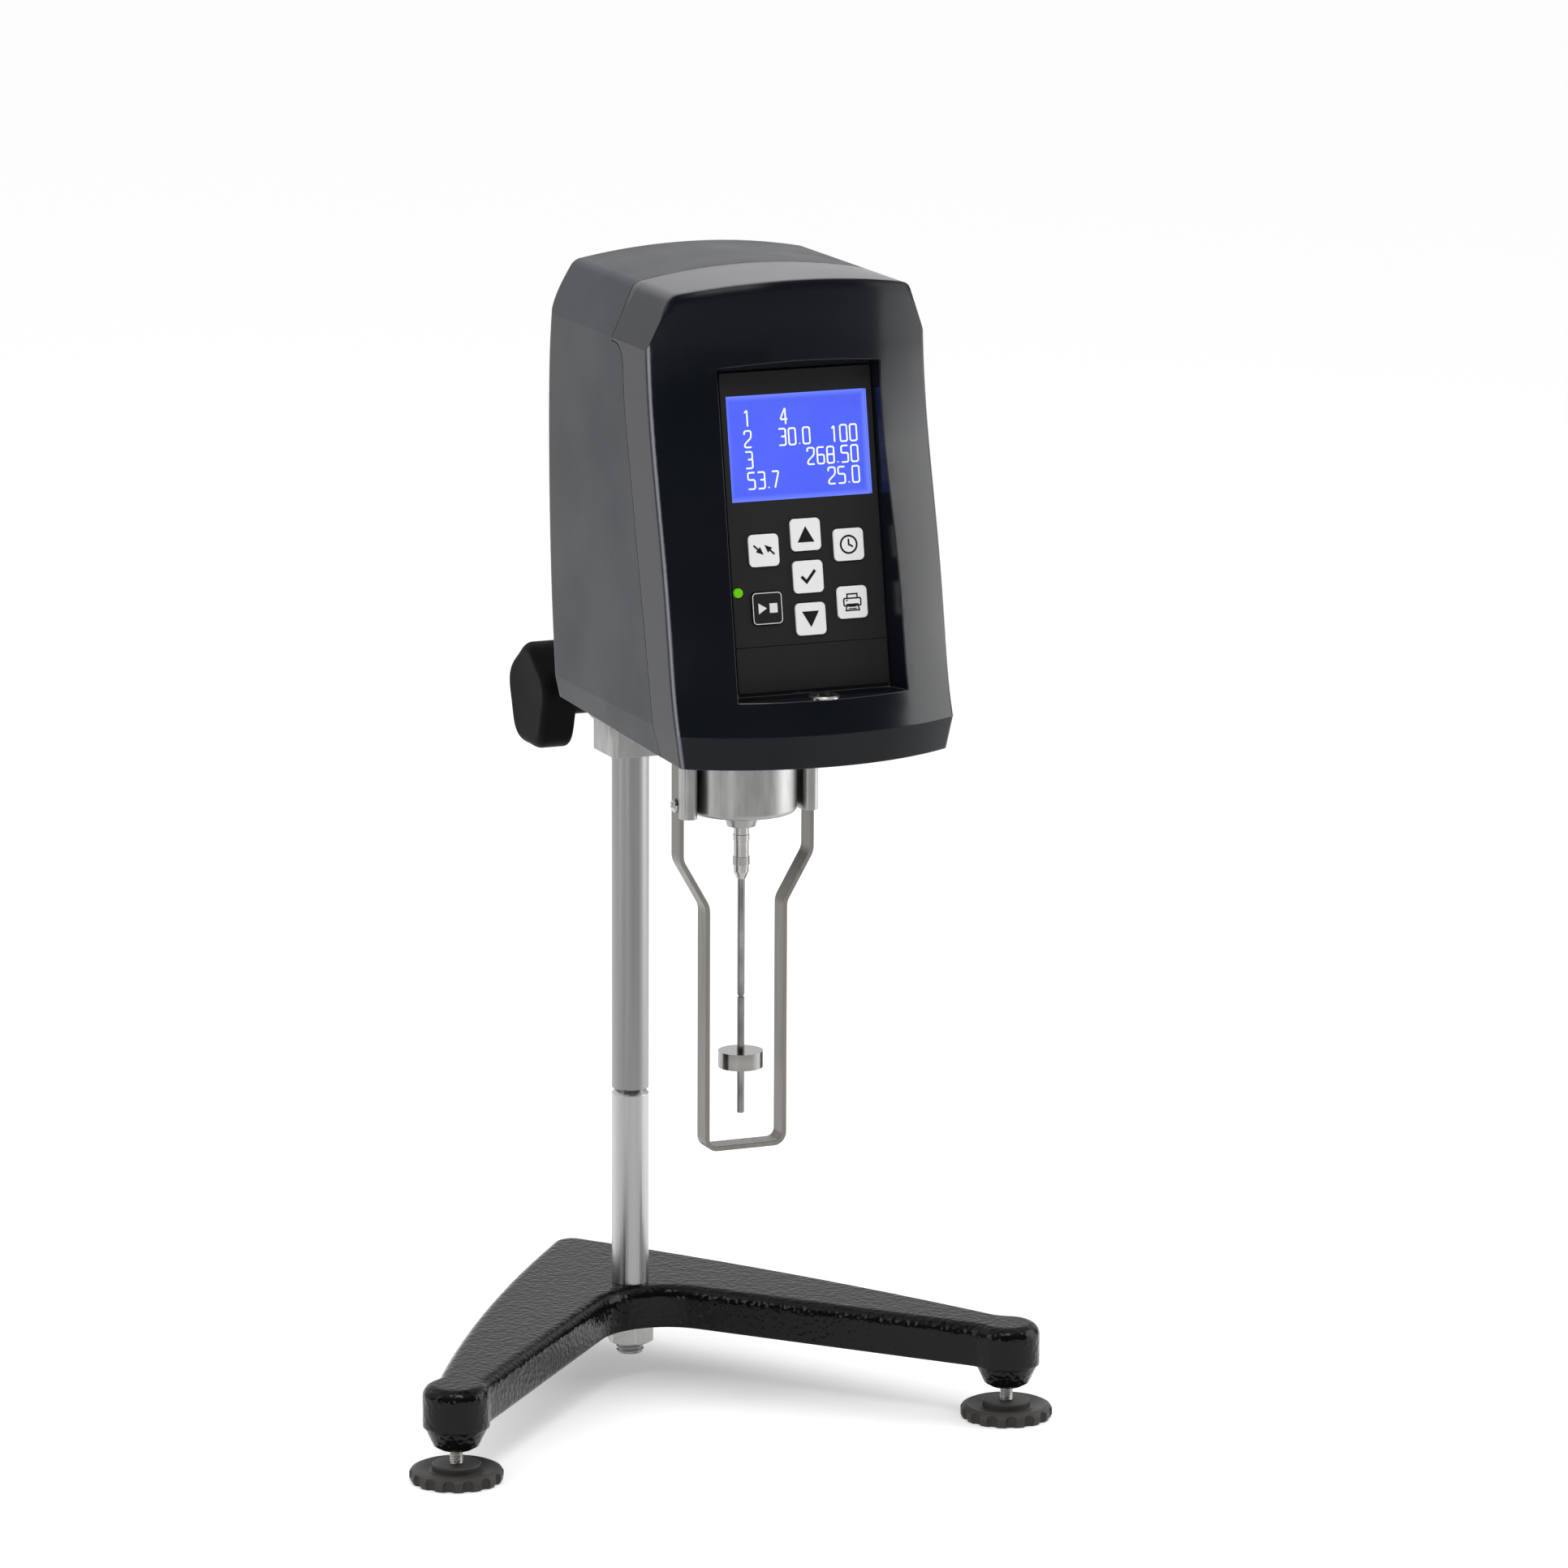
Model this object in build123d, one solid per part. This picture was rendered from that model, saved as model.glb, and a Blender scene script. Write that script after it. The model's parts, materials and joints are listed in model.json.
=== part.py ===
from build123d import *
from math import acos, cos, hypot, pi, radians, sin, tan
import os

# Digital rotational viscometer on a V-shaped stand, in millimetres.
# X runs to the instrument's right, the front faces -Y and Z is up from the bench.
# Everything is drawn about the column's axis, then moved so that the origin
# lies on the bench under the middle of the whole instrument.

# Fits
running_gap = 0.05        # radial clearance of a shaft that turns or slides in its bore
loose_gap = 0.3           # clearance beside keys, glands and trims
seam_gap = 0.25           # open line between the two halves of the housing

# Base casting
casting_bottom = 23.6     # underside of the legs above the bench
casting_thickness = 17.9
casting_edge = 5.0        # rounding of the upper edge
foot_x = 124.9            # levelling feet, from the column
foot_y = 119.8
apex_y = 79.0             # rear end of the casting
apex_half_width = 8.6
apex_round = 5.0          # how far the rear end bulges
leg_outer = 11.0          # leg width outside and inside the foot's axis
leg_inner = 11.2
leg_angle = 47.8          # direction of the legs' inner edge, in degrees from the X axis
leg_bulge = 5.5           # outward bow of the outer edge
throat_radius = 30.0
drum_blend = 12.0         # fillets that run the legs into the drums at their tips
boss_radius = 14.0
boss_bottom = 14.0        # underside of the drums at the leg tips
boss_end_radius = 9.6
rear_boss_y = 66.0
rear_boss_radius = 11.0
rear_boss_end_radius = 8.0
pad_thickness = 3.0
pad_radius = 7.5
spot_face_depth = 1.0

# Levelling feet
stud_radius = 2.75
stud_top = 31.0
stud_travel_up = 5.5      # how far a foot screws in before its hub meets the drum
wheel_radius = 19.6
wheel_hub_radius = 10.2
wheel_hub_top = 7.7
wheel_web_top = 4.6
wheel_rim_top = 5.8
wheel_socket = 2.0        # the stud stands this far above the wheel's underside
scallop_count = 15
scallop_radius = 2.5
scallop_depth = 2.0
scallop_height = 3.0

# Column
column_radius = 8.0
column_joint_z = 127.1    # where the two rods screw together
column_top_z = 455.0
column_chamfer = 1.3
joint_stud_radius = 5.0
joint_stud_length = 16.0
base_stud_radius = 6.0
base_stud_end = 9.9       # threaded end above the bench
nut_across_flats = 18.0
nut_height = 9.8

# Rack and pinion of the lift
rack_module = 1.0
pinion_teeth = 14
pressure_angle = 20.0
rack_pitch_y = 6.5        # pitch line behind the column's axis
rack_addendum = 0.8
tooth_dedendum = 1.25     # in modules
tooth_backlash = 0.12
rack_bottom_z = 165.0
rack_top_z = 435.0
pinion_width = 7.6

# Carriage
carriage_bottom = 275.6
carriage_height = 69.4
carriage_half_width = 12.0
carriage_front = 12.0
carriage_rear = 14.0
carriage_bevel = 1.7
pinion_height = 24.6      # pinion axis above the carriage's underside
pinion_housing_wall = 3.4
pinion_shaft_radius = 3.0
knob_inner_x = 27.3       # inner face of the lobed knob, left of the column
knob_thickness = 15.2
knob_radius = 23.4
knob_lobes = 5
knob_valley = 2.2         # depth of the hollows between the lobes
knob_edge = 4.0
knob_hub_radius = 9.0
knob_hub_gap = 3.6        # hub end to the carriage's side

# Head housing: heights are above the lower edge of its front
head_z = 312.5
spindle_y = 124.4         # spindle axis in front of the column
wall = 2.5
head_half_width = 60.6
head_foot_inset = 2.4     # the lower edge is narrower by this on each side
front_bow = 17.5          # forward bow of the front, in plan
front_corner = 4.0
rear_corner = 6.0
foot_front = 202.4        # front corners at the lower edge, from the column
foot_rear = 65.0
crease_height = 13.5      # where the front band turns into the leaning face
# height, front corners and rear corners from the column
head_stations = [
    (crease_height, 203.9, 63.5),
    (60.0, 192.6, 58.4),
    (105.0, 181.8, 56.6),
    (140.0, 173.6, 57.0),
    (166.0, 170.4, 60.0),
    (196.0, 168.6, 72.0),
]
chamfer_low = 165.0       # bevel along the upper sides
shoulder_height = 187.0
shoulder_half_width = 51.5
crown_height = 192.5
underside_rise = 4.9      # the housing's lower edge rises this much to the rear

# Seam between the halves: distance from the column and height
seam_foot = 180.7
seam_lean_top = 146.0
seam_lean_top_height = 138.5
seam_step_rise = 25.0     # height of the step above the top of the leaning stretch
seam_step_front = 143.6
seam_step_rear = 132.5
seam_top = 134.5
seam_step_round = 9.0

# Panel in the front's recess; panel places are measured from its lower end
panel_lean = 10.2
panel_y = 200.5           # lower end of the panel, from the column
panel_height = 28.5
panel_half_width = 33.2
panel_length = 129.0
recess_below = 1.6        # ledge below the panel's lower end
recess_side_draft = 22.0
recess_top_draft = 14.0
recess_reach = 45.0
overlay_thickness = 0.8
overlay_low = 18.4        # lower end of the keypad sheet
display_low = 76.9
display_length = 42.2
display_half_width = 30.5
window_thickness = 2.4
lcd_body_length = 50.0
lcd_body_half_width = 34.0
lcd_depth = 7.0
key_size = 13.0
key_corner = 2.0
key_thickness = 1.0
key_travel = 0.5
key_rest_gap = 0.05       # left under a pressed key
key_stem = 8.4
switch_size = 6.0
switch_height = 1.2
middle_key_pitch = 17.0
middle_key_low = 28.1
side_key_x = 18.5
side_key_low = 33.6
side_key_high = 56.9
led_x = 30.5
led_up = 40.5
led_radius = 1.9
board_thickness = 1.6
board_drop = 6.4          # face of the key board behind the panel
board_post_radius = 2.5
board_post_inset = 4.0
key_board_half_width = 33.0
level_forward = 10.4      # bubble level in front of the panel's foot
level_ring_radius = 6.5
level_sleeve_radius = 5.0
level_vial_radius = 4.2
level_ring_height = 1.1
level_sleeve_depth = 4.5

# Chassis plate, cup and guard
plate_height = 5.5        # underside of the chassis plate above the head's lower edge
plate_thickness = 3.0
cup_radius = 22.9
cup_bottom_drop = 37.0    # cup's underside below the head's lower edge
cup_wall = 2.0
cup_edge = 2.0
neck_radius = 6.75
neck_length = 6.6
neck_bore = 4.0
post_inner_x = 23.4
post_outer_x = 30.4
post_front = 11.7         # from the spindle's axis
post_round = 3.2
guard_half_width = 30.0
guard_lower_half_width = 18.2
guard_thickness = 2.0
guard_front = 6.0         # front edge of the strip from the spindle's axis
guard_width = 8.8
guard_bend_high = 55.4    # bends, below the head's lower edge
guard_bend_low = 75.8
guard_bottom = 180.0
guard_bend_round = 8.0
guard_foot_round = 4.5
guard_top_gap = 0.5
guard_screw_drop = 32.5
screw_radius = 1.5
screw_head_radius = 3.0
screw_head_height = 2.0

# Measuring unit, heights above the chassis plate
bearing_flange_radius = 16.0
bearing_flange = 3.0
bearing_radius = 10.5
bearing_length = 15.0
tube_radius = 6.0
tube_bore = 2.6
tube_journal = 3.0
tube_foot = 1.0
tube_length = 40.0
tube_collar_radius = 8.0
gear_module = 0.8
drive_teeth = 48
motor_teeth = 16
gear_height = 21.0
gear_width = 5.0
gear_hub_radius = 9.0
disc_radius = 10.5
disc_thickness = 1.0
disc_slots = 12
spring_post_radius = 1.0
spring_post_place = 7.5
spring_height = 45.0
spring_width = 1.4
spring_strip = 0.35
spring_turns = 3
spring_start = radians(-75)  # bearing of the post that holds the spring's outer end
pivot_radius = 2.0
pivot_top = 57.0
pivot_disc_height = 51.0
collet_radius = 2.9
motor_size = 28.0
motor_length = 30.0
motor_shaft_radius = 2.5
motor_bracket_height = 28.0
bracket_sheet = 3.0

# Coupling and spindle, lengths down from the cup's neck
pivot_end_radius = 3.25
pivot_end_length = 6.5
coupling_radius = 3.2
coupling_length = 13.0
coupling_taper = 2.9
knurl_radius = 3.55
knurl_drop = 6.5
knurl_length = 3.4
knurl_teeth = 24
spindle_radius = 1.5875
spindle_tip_z = 146.6
groove_above_tip = 50.0
groove_depth = 0.35
groove_width = 1.2
disc_bob_radius = 9.36
disc_bob_length = 6.86
disc_bob_above_tip = 19.8

# Arm, screws, boards and rear connections
arm_half_width = 11.0
arm_height = 22.0
arm_reach = 26.0          # how far the arm goes into the head
case_screw_radius = 1.4
case_screw_head = 2.75
case_screw_head_height = 2.0
case_boss_radius = 4.0
case_boss_height = 12.0
case_boss_inset = 6.0
case_boss_rear = 80.0
case_boss_front = 186.0
bay_half_width = 36.0
bay_low = 40.0
bay_high = 100.0
bay_y = 62.0              # flat floor of the rear bay, from the column
main_board_y = 74.0
main_board_half_width = 44.0
main_board_high = 128.0
connector_x = 20.0
connector_low = 54.0
connector_high = 84.0
probe_radius = 6.0
inlet_radius = 5.0
inlet_bore = 2.8
serial_half_width = 15.5
serial_half_height = 6.2
switch_half_width = 7.5
switch_half_height = 10.5
rocker_half_width = 5.0
rocker_radius = 7.8
rocker_tilt = 8.0

# Worked out from the sizes above
head_foot_half_width = head_half_width - head_foot_inset
seam_step_height = seam_lean_top_height + seam_step_rise
casting_top = casting_bottom + casting_thickness
nut_top = casting_bottom + spot_face_depth
pinion_pitch_radius = rack_module * pinion_teeth / 2
pinion_y = rack_pitch_y + pinion_pitch_radius
pinion_z = carriage_bottom + pinion_height
pinion_tip_radius = pinion_pitch_radius + rack_module
knob_outer_x = knob_inner_x + knob_thickness
plate_z = head_z + plate_height
plate_top = plate_z + plate_thickness
cup_z = head_z - cup_bottom_drop
neck_z = cup_z - neck_length
gear_distance = gear_module * (drive_teeth + motor_teeth) / 2
motor_y = spindle_y - gear_distance
coupling_top = neck_z - pivot_end_length
spindle_top = coupling_top - coupling_length
key_board_low = overlay_low
key_board_high = display_low + (display_length - lcd_body_length) / 2 - 1
panel_plane = Plane(
    origin=(0, -panel_y, head_z + panel_height),
    x_dir=(1, 0, 0),
    z_dir=(0, -cos(radians(panel_lean)), sin(radians(panel_lean))),
)
key_places = {
    "key_up": (0, middle_key_low + 2 * middle_key_pitch),
    "key_ok": (0, middle_key_low + middle_key_pitch),
    "key_down": (0, middle_key_low),
    "key_swap": (-side_key_x, side_key_high),
    "key_scan": (side_key_x, side_key_high),
    "key_start": (-side_key_x, side_key_low),
    "key_print": (side_key_x, side_key_low),
}


def rod(radius, low, high, x=0, y=0):
    """Upright cylinder between two heights."""
    return Pos(x, y, (low + high) / 2) * Cylinder(radius, high - low)


def rod_x(radius, x1, x2, y, z):
    """Cylinder along X between two places."""
    return Pos((x1 + x2) / 2, y, z) * Rot(0, 90, 0) * Cylinder(radius, abs(x2 - x1))


def rod_y(radius, y1, y2, x, z):
    """Cylinder along Y between two places."""
    return Pos(x, (y1 + y2) / 2, z) * Rot(90, 0, 0) * Cylinder(radius, abs(y2 - y1))


def block(x1, x2, y1, y2, z1, z2):
    """Box between its limits."""
    return Pos((x1 + x2) / 2, (y1 + y2) / 2, (z1 + z2) / 2) * Box(x2 - x1, y2 - y1, z2 - z1)


def turned(points):
    """Solid of revolution from (radius, height) points."""
    profile = make_face(Polyline(*[(r, 0, z) for r, z in points], close=True))
    return revolve(profile, Axis.Z)


def gear_face(teeth, module, addendum):
    """Involute spur gear outline with a tooth on the -Y side."""
    pitch = teeth * module / 2
    base = pitch * cos(radians(pressure_angle))
    tip = pitch + addendum
    root = pitch - tooth_dedendum * module

    def roll(radius):
        """Involute angle of a point at this radius."""
        if radius <= base:
            return 0.0
        angle = acos(base / radius)
        return tan(angle) - angle

    half_pitch = (pi * module / 2 - tooth_backlash) / (2 * pitch)
    flank_radii = [root, max(base, root) + 0.02, pitch, tip]
    points = []
    for tooth in range(teeth):
        middle = -pi / 2 + 2 * pi * tooth / teeth
        half_angles = [half_pitch + roll(pitch) - roll(r) for r in flank_radii]
        rising = [(r, middle - a) for r, a in zip(flank_radii, half_angles)]
        falling = [(r, middle + a) for r, a in zip(flank_radii, half_angles)]
        for r, a in rising + falling[::-1]:
            points.append((r * cos(a), r * sin(a)))
    return make_face(Polyline(*points, close=True))


# Stand

def leg_outline():
    """Plan of the V casting, without the drums at its tips."""
    direction = (cos(radians(leg_angle)), -sin(radians(leg_angle)))
    inward = (direction[1], -direction[0])
    tip_inner = (foot_x + leg_inner * inward[0], -foot_y + leg_inner * inward[1])
    throat_y = tip_inner[1] - tip_inner[0] * direction[1] / direction[0]
    tip_outer = (foot_x + leg_outer, -foot_y)
    apex = (apex_half_width, apex_y - apex_round)
    outline = make_face([
        ThreePointArc((-apex[0], apex[1]), (0, apex_y), apex),
        SagittaArc(apex, tip_outer, leg_bulge),
        Line(tip_outer, tip_inner),
        Line(tip_inner, (0, throat_y)),
        Line((0, throat_y), (-tip_inner[0], tip_inner[1])),
        Line((-tip_inner[0], tip_inner[1]), (-tip_outer[0], tip_outer[1])),
        SagittaArc((-tip_outer[0], tip_outer[1]), (-apex[0], apex[1]), leg_bulge),
    ])
    throat = outline.vertices().sort_by_distance((0, throat_y, 0))[0]
    outline = fillet(throat, throat_radius)
    for side in (-1, 1):
        outline += Pos(side * foot_x, -foot_y) * Circle(boss_radius)
    meets_drum = [
        v for v in outline.vertices()
        if abs(hypot(abs(v.X) - foot_x, v.Y + foot_y) - boss_radius) < 0.01
    ]
    return fillet(meets_drum, drum_blend)


def base_casting():
    casting = extrude(Pos(0, 0, casting_bottom) * leg_outline(), casting_thickness)
    casting = fillet(casting.faces().sort_by(Axis.Z)[-1].edges(), casting_edge)
    drum = turned([
        (0, boss_bottom), (boss_end_radius - 2.5, boss_bottom), (boss_end_radius, boss_bottom + 1.5),
        (boss_radius - 0.6, casting_bottom), (boss_radius - 0.6, casting_bottom + 4),
        (0, casting_bottom + 4),
    ])
    rear_drum = turned([
        (0, pad_thickness), (rear_boss_end_radius, pad_thickness),
        (rear_boss_radius, casting_bottom - 2), (rear_boss_radius, casting_bottom + 2),
        (0, casting_bottom + 2),
    ])
    for side in (-1, 1):
        casting += Pos(side * foot_x, -foot_y, 0) * drum
        bore_top = stud_top + stud_travel_up + 1
        casting -= rod(stud_radius + running_gap, 0, bore_top, side * foot_x, -foot_y)
    casting += Pos(0, rear_boss_y, 0) * rear_drum
    casting -= rod(base_stud_radius + running_gap, 0, casting_top + 1)
    casting -= rod(nut_across_flats * 0.7, casting_bottom - 1, nut_top)
    return casting


def rear_foot_pad():
    pad = rod(pad_radius, 0, pad_thickness, 0, rear_boss_y)
    return chamfer(pad.faces().sort_by(Axis.Z)[0].edges(), 0.6)


def foot_stud(side):
    stud = rod(stud_radius, wheel_socket, stud_top)
    stud = chamfer(stud.faces().sort_by(Axis.Z)[-1].edges(), 0.7)
    return Pos(side * foot_x, -foot_y, 0) * stud


def foot_wheel(side):
    """Moulded wheel: dished web, raised hub and scalloped rim."""
    wheel = turned([
        (0, 0), (wheel_radius - 0.9, 0), (wheel_radius, 1.6), (wheel_radius, 3.8),
        (wheel_radius - 0.8, 5.0), (wheel_radius - 2.6, wheel_rim_top),
        (wheel_radius - 4.6, wheel_rim_top - 0.4), (wheel_hub_radius + 1.4, wheel_web_top),
        (wheel_hub_radius, wheel_web_top), (wheel_hub_radius, wheel_hub_top - 0.5),
        (wheel_hub_radius - 0.5, wheel_hub_top), (0, wheel_hub_top),
    ])
    place = wheel_radius + scallop_radius - scallop_depth
    scallop = rod(scallop_radius, -1, scallop_height, place)
    scallop += Pos(place, 0, scallop_height) * Sphere(scallop_radius)
    for number in range(scallop_count):
        wheel -= Rot(0, 0, 360 * number / scallop_count) * scallop
    wheel -= rod(stud_radius + running_gap, wheel_socket, wheel_hub_top + 1)
    if side > 0:
        wheel = mirror(wheel, Plane.YZ)
    return Pos(side * foot_x, -foot_y, 0) * wheel


def column_lower():
    column = rod(column_radius, casting_top, column_joint_z)
    column = chamfer(column.faces().sort_by(Axis.Z)[-1].edges(), column_chamfer)
    column -= rod(joint_stud_radius + running_gap, column_joint_z - joint_stud_length - 1, column_joint_z + 1)
    stud = rod(base_stud_radius, base_stud_end, casting_top)
    column += chamfer(stud.faces().sort_by(Axis.Z)[0].edges(), 1.0)
    return column


def rack_teeth():
    """Everything behind the toothed face of the rack, to be cut from the column."""
    pitch = pi * rack_module
    slope = tan(radians(pressure_angle))
    tip_y = rack_pitch_y + rack_addendum
    root_y = rack_pitch_y - tooth_dedendum * rack_module
    half_tooth = pitch / 4 - tooth_backlash / 4
    half_tip = half_tooth - rack_addendum * slope
    half_root = half_tooth + tooth_dedendum * rack_module * slope
    first = round((rack_bottom_z - pinion_z) / pitch)
    last = round((rack_top_z - pinion_z) / pitch)
    points = [(tip_y + column_radius, pinion_z + first * pitch)]
    for number in range(first, last):
        middle = pinion_z + (number + 0.5) * pitch
        points += [
            (root_y, middle - half_root), (tip_y, middle - half_tip),
            (tip_y, middle + half_tip), (root_y, middle + half_root),
        ]
    points.append((tip_y + column_radius, pinion_z + last * pitch))
    profile = Plane.YZ * make_face(Polyline(*points, close=True))
    return extrude(profile, column_radius + 1, both=True)


def column_upper():
    column = rod(column_radius, column_joint_z, column_top_z)
    column = chamfer(column.edges().filter_by(GeomType.CIRCLE), column_chamfer)
    column -= rack_teeth()
    column += rod(joint_stud_radius, column_joint_z - joint_stud_length, column_joint_z + 1)
    return column


def column_nut():
    nut = extrude(RegularPolygon(nut_across_flats / 2, 6, major_radius=False), nut_height)
    rim = turned([
        (0, 0), (nut_across_flats / 2 - 0.3, 0), (nut_across_flats / 2 + 1.6, 1.1),
        (nut_across_flats / 2 + 1.6, nut_height - 1.1), (nut_across_flats / 2 - 0.3, nut_height),
        (0, nut_height),
    ])
    nut = Rot(0, 0, 22) * (nut & rim)
    nut -= rod(base_stud_radius + running_gap, -1, nut_height + 1)
    return Pos(0, 0, nut_top - nut_height) * nut


# Lift

def carriage_block():
    top = carriage_bottom + carriage_height
    body = block(-carriage_half_width, carriage_half_width, -carriage_front, carriage_rear, carriage_bottom, top)
    body = chamfer(body.edges().filter_by(Axis.Z), carriage_bevel)
    pocket = pinion_tip_radius + loose_gap
    housing = rod_x(pocket + pinion_housing_wall, -carriage_half_width, carriage_half_width, pinion_y, pinion_z)
    body += housing
    body -= rod(column_radius + running_gap, carriage_bottom - 1, top + 1)
    body -= rod_x(pocket, -carriage_half_width - 1, pinion_width / 2 + loose_gap, pinion_y, pinion_z)
    body -= rod_x(pinion_shaft_radius + running_gap, -carriage_half_width - 1, carriage_half_width + 1,
                  pinion_y, pinion_z)
    return body


def pinion_bush():
    """Bush that closes the pinion's pocket, cut back where the column passes."""
    pocket = pinion_tip_radius + loose_gap
    bush = rod_x(pocket, -carriage_half_width, -pinion_width / 2 - loose_gap, pinion_y, pinion_z)
    bush -= rod(column_radius + loose_gap, carriage_bottom, pinion_z + pocket + 1)
    bush -= rod_x(pinion_shaft_radius + running_gap, -carriage_half_width - 1, 0, pinion_y, pinion_z)
    return bush


def pinion_shaft():
    gear = extrude(gear_face(pinion_teeth, rack_module, rack_module), pinion_width / 2, both=True)
    gear = Pos(0, pinion_y, pinion_z) * Rot(0, 90, 0) * gear
    shaft = rod_x(pinion_shaft_radius, -knob_outer_x + 4, carriage_half_width, pinion_y, pinion_z)
    return gear + shaft


def lift_knob():
    """Lobed grip with a hub, bored for the pinion's shaft."""
    lobe = 2 * pi / knob_lobes
    steps = 8
    points = []
    for number in range(knob_lobes * steps):
        angle = number * lobe / steps
        radius = knob_radius - knob_valley * (1 - cos(knob_lobes * angle)) / 2
        points.append((radius * cos(angle), radius * sin(angle)))
    outline = make_face(Spline(*points, periodic=True))
    grip = extrude(outline, knob_thickness)
    grip = fillet(grip.edges().group_by(Axis.Z)[-1], knob_edge)
    grip = fillet(grip.edges().group_by(Axis.Z)[0], knob_edge / 2)
    hub_length = knob_inner_x - carriage_half_width - knob_hub_gap
    grip += rod(knob_hub_radius, -hub_length, 1)
    grip -= rod(pinion_shaft_radius + running_gap, -hub_length - 1, knob_thickness - 3.5)
    return Pos(-knob_inner_x, pinion_y, pinion_z) * Rot(0, -90, 0) * grip


def head_bracket():
    """Arm from the carriage to the chassis plate."""
    arm = block(-arm_half_width, arm_half_width, -foot_rear - arm_reach, -carriage_front,
                plate_top, plate_top + arm_height)
    return chamfer(arm.edges().filter_by(Axis.Y), 1.0)


# Housing

def head_plan(height, half_width, front, rear, inset):
    """Plan section of the head with a bowed front, at a height above its lower edge."""
    half = half_width - inset
    y_front = inset - front
    y_rear = -rear - inset
    section = make_face([
        ThreePointArc((-half, y_front), (0, y_front - front_bow), (half, y_front)),
        Line((half, y_front), (half, y_rear)),
        Line((half, y_rear), (-half, y_rear)),
        Line((-half, y_rear), (-half, y_front)),
    ])
    front_corners = section.vertices().sort_by(Axis.Y)[:2]
    section = fillet(front_corners, front_corner - inset / 2)
    rear_corners = section.vertices().sort_by(Axis.Y)[-2:]
    section = fillet(rear_corners, rear_corner - inset / 2)
    return Pos(0, 0, head_z + height) * section


def head_outline(inset):
    """Front view of the head: bevelled shoulders and a crowned top, open below."""
    run = (head_half_width - shoulder_half_width) / (shoulder_height - chamfer_low)
    far = head_half_width + 20
    far_height = chamfer_low - 20 / run
    outline = make_face([
        Line((-far, -40), (far, -40)),
        Line((far, -40), (far, far_height)),
        Line((far, far_height), (shoulder_half_width, shoulder_height)),
        ThreePointArc((shoulder_half_width, shoulder_height), (0, crown_height),
                      (-shoulder_half_width, shoulder_height)),
        Line((-shoulder_half_width, shoulder_height), (-far, far_height)),
        Line((-far, far_height), (-far, -40)),
    ])
    shoulders = outline.vertices().sort_by(Axis.Y)[-2:]
    outline = fillet(shoulders, 5.0)
    if inset:
        outline = offset(outline, -inset)
    outline = Plane.XZ * outline
    return extrude(Pos(0, 0, head_z) * outline, foot_front * 2)


def head_form(inset):
    """Outer form of the housing, or its hollow when it is set in by the wall."""
    sections = [head_plan(h, head_half_width, front, rear, inset) for h, front, rear in head_stations]
    upper = loft(sections)
    foot = head_plan(0, head_foot_half_width, foot_front, foot_rear, inset)
    form = upper + loft([foot, sections[0]], ruled=True)
    if inset:
        form += extrude(foot, -underside_rise)
    return form & head_outline(inset)


def behind_seam(shift):
    """Space behind the stepped seam, moved forward by a shift."""
    lean = (seam_foot - seam_lean_top) / seam_lean_top_height
    outline = make_face(Polyline(
        (-seam_foot - 10 * lean - shift, -10),
        (-seam_lean_top - shift, seam_lean_top_height),
        (-seam_step_front - shift, seam_step_height + shift),
        (-seam_step_rear - shift, seam_step_height + shift),
        (-seam_top - shift, crown_height + 10),
        (0, crown_height + 10),
        (0, -10),
        close=True,
    ))
    bend = outline.vertices().sort_by_distance((-seam_step_front - shift, seam_step_height + shift, 0))[0]
    outline = fillet(bend, seam_step_round)
    solid = extrude(Plane.YZ * outline, head_half_width + 10, both=True)
    return Pos(0, 0, head_z) * solid


def under_head():
    """Wedge that gives the housing its rising lower edge."""
    outline = make_face(Polyline(
        (-foot_front - 30, 0), (-foot_front, 0), (-foot_rear, underside_rise),
        (0, underside_rise), (0, -20), (-foot_front - 30, -20), close=True,
    ))
    return Pos(0, 0, head_z) * extrude(Plane.YZ * outline, head_half_width + 10, both=True)


def recess(margin):
    """Drafted pocket in front of the panel, or the block of wall round it."""
    side = recess_reach * tan(radians(recess_side_draft))
    below = recess_reach * tan(radians(panel_lean))
    above = recess_reach * tan(radians(recess_top_draft))
    low = -recess_below - margin
    high = panel_length + margin
    half = panel_half_width + margin
    floor = Pos(0, (low + high) / 2, -margin) * Rectangle(2 * half, high - low)
    mouth_low = low - below
    mouth_high = high + above
    mouth = Rectangle(2 * (half + side), mouth_high - mouth_low)
    mouth = Pos(0, (mouth_low + mouth_high) / 2, recess_reach - margin) * mouth
    return loft([panel_plane * floor, panel_plane * mouth], ruled=True)


def on_panel(x, up, width, length, low, high, corner=0):
    """Plate on the panel: size across and up, between two distances from its face."""
    shape = RectangleRounded(width, length, corner) if corner else Rectangle(width, length)
    return extrude(panel_plane * Pos(x, up, low) * shape, high - low)


def panel_rod(radius, x, up, low, high):
    """Cylinder square to the panel."""
    return extrude(panel_plane * Pos(x, up, low) * Circle(radius), high - low)


def level_place():
    """Middle of the bubble level on the ledge."""
    lean = radians(panel_lean)
    y = -panel_y - level_forward
    z = head_z + panel_height - recess_below * cos(lean)
    return y, z


def case_boss_places():
    """Screw bosses of the rear shell, then of the front shell."""
    x = head_half_width - wall - case_boss_inset
    return [(-x, -case_boss_rear), (x, -case_boss_rear)], [(-x, -case_boss_front), (x, -case_boss_front)]


def case_bosses(places):
    bosses = []
    for x, y in places:
        reach = head_half_width - wall / 2
        web = block(min(x, x / abs(x) * reach), max(x, x / abs(x) * reach), y - 1.5, y + 1.5,
                    plate_top, plate_top + case_boss_height)
        boss = rod(case_boss_radius, plate_top, plate_top + case_boss_height, x, y) + web
        hole = rod(case_screw_radius + running_gap, plate_top - 1, plate_top + case_boss_height - 1.5, x, y)
        bosses.append(boss - hole)
    return bosses


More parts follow.
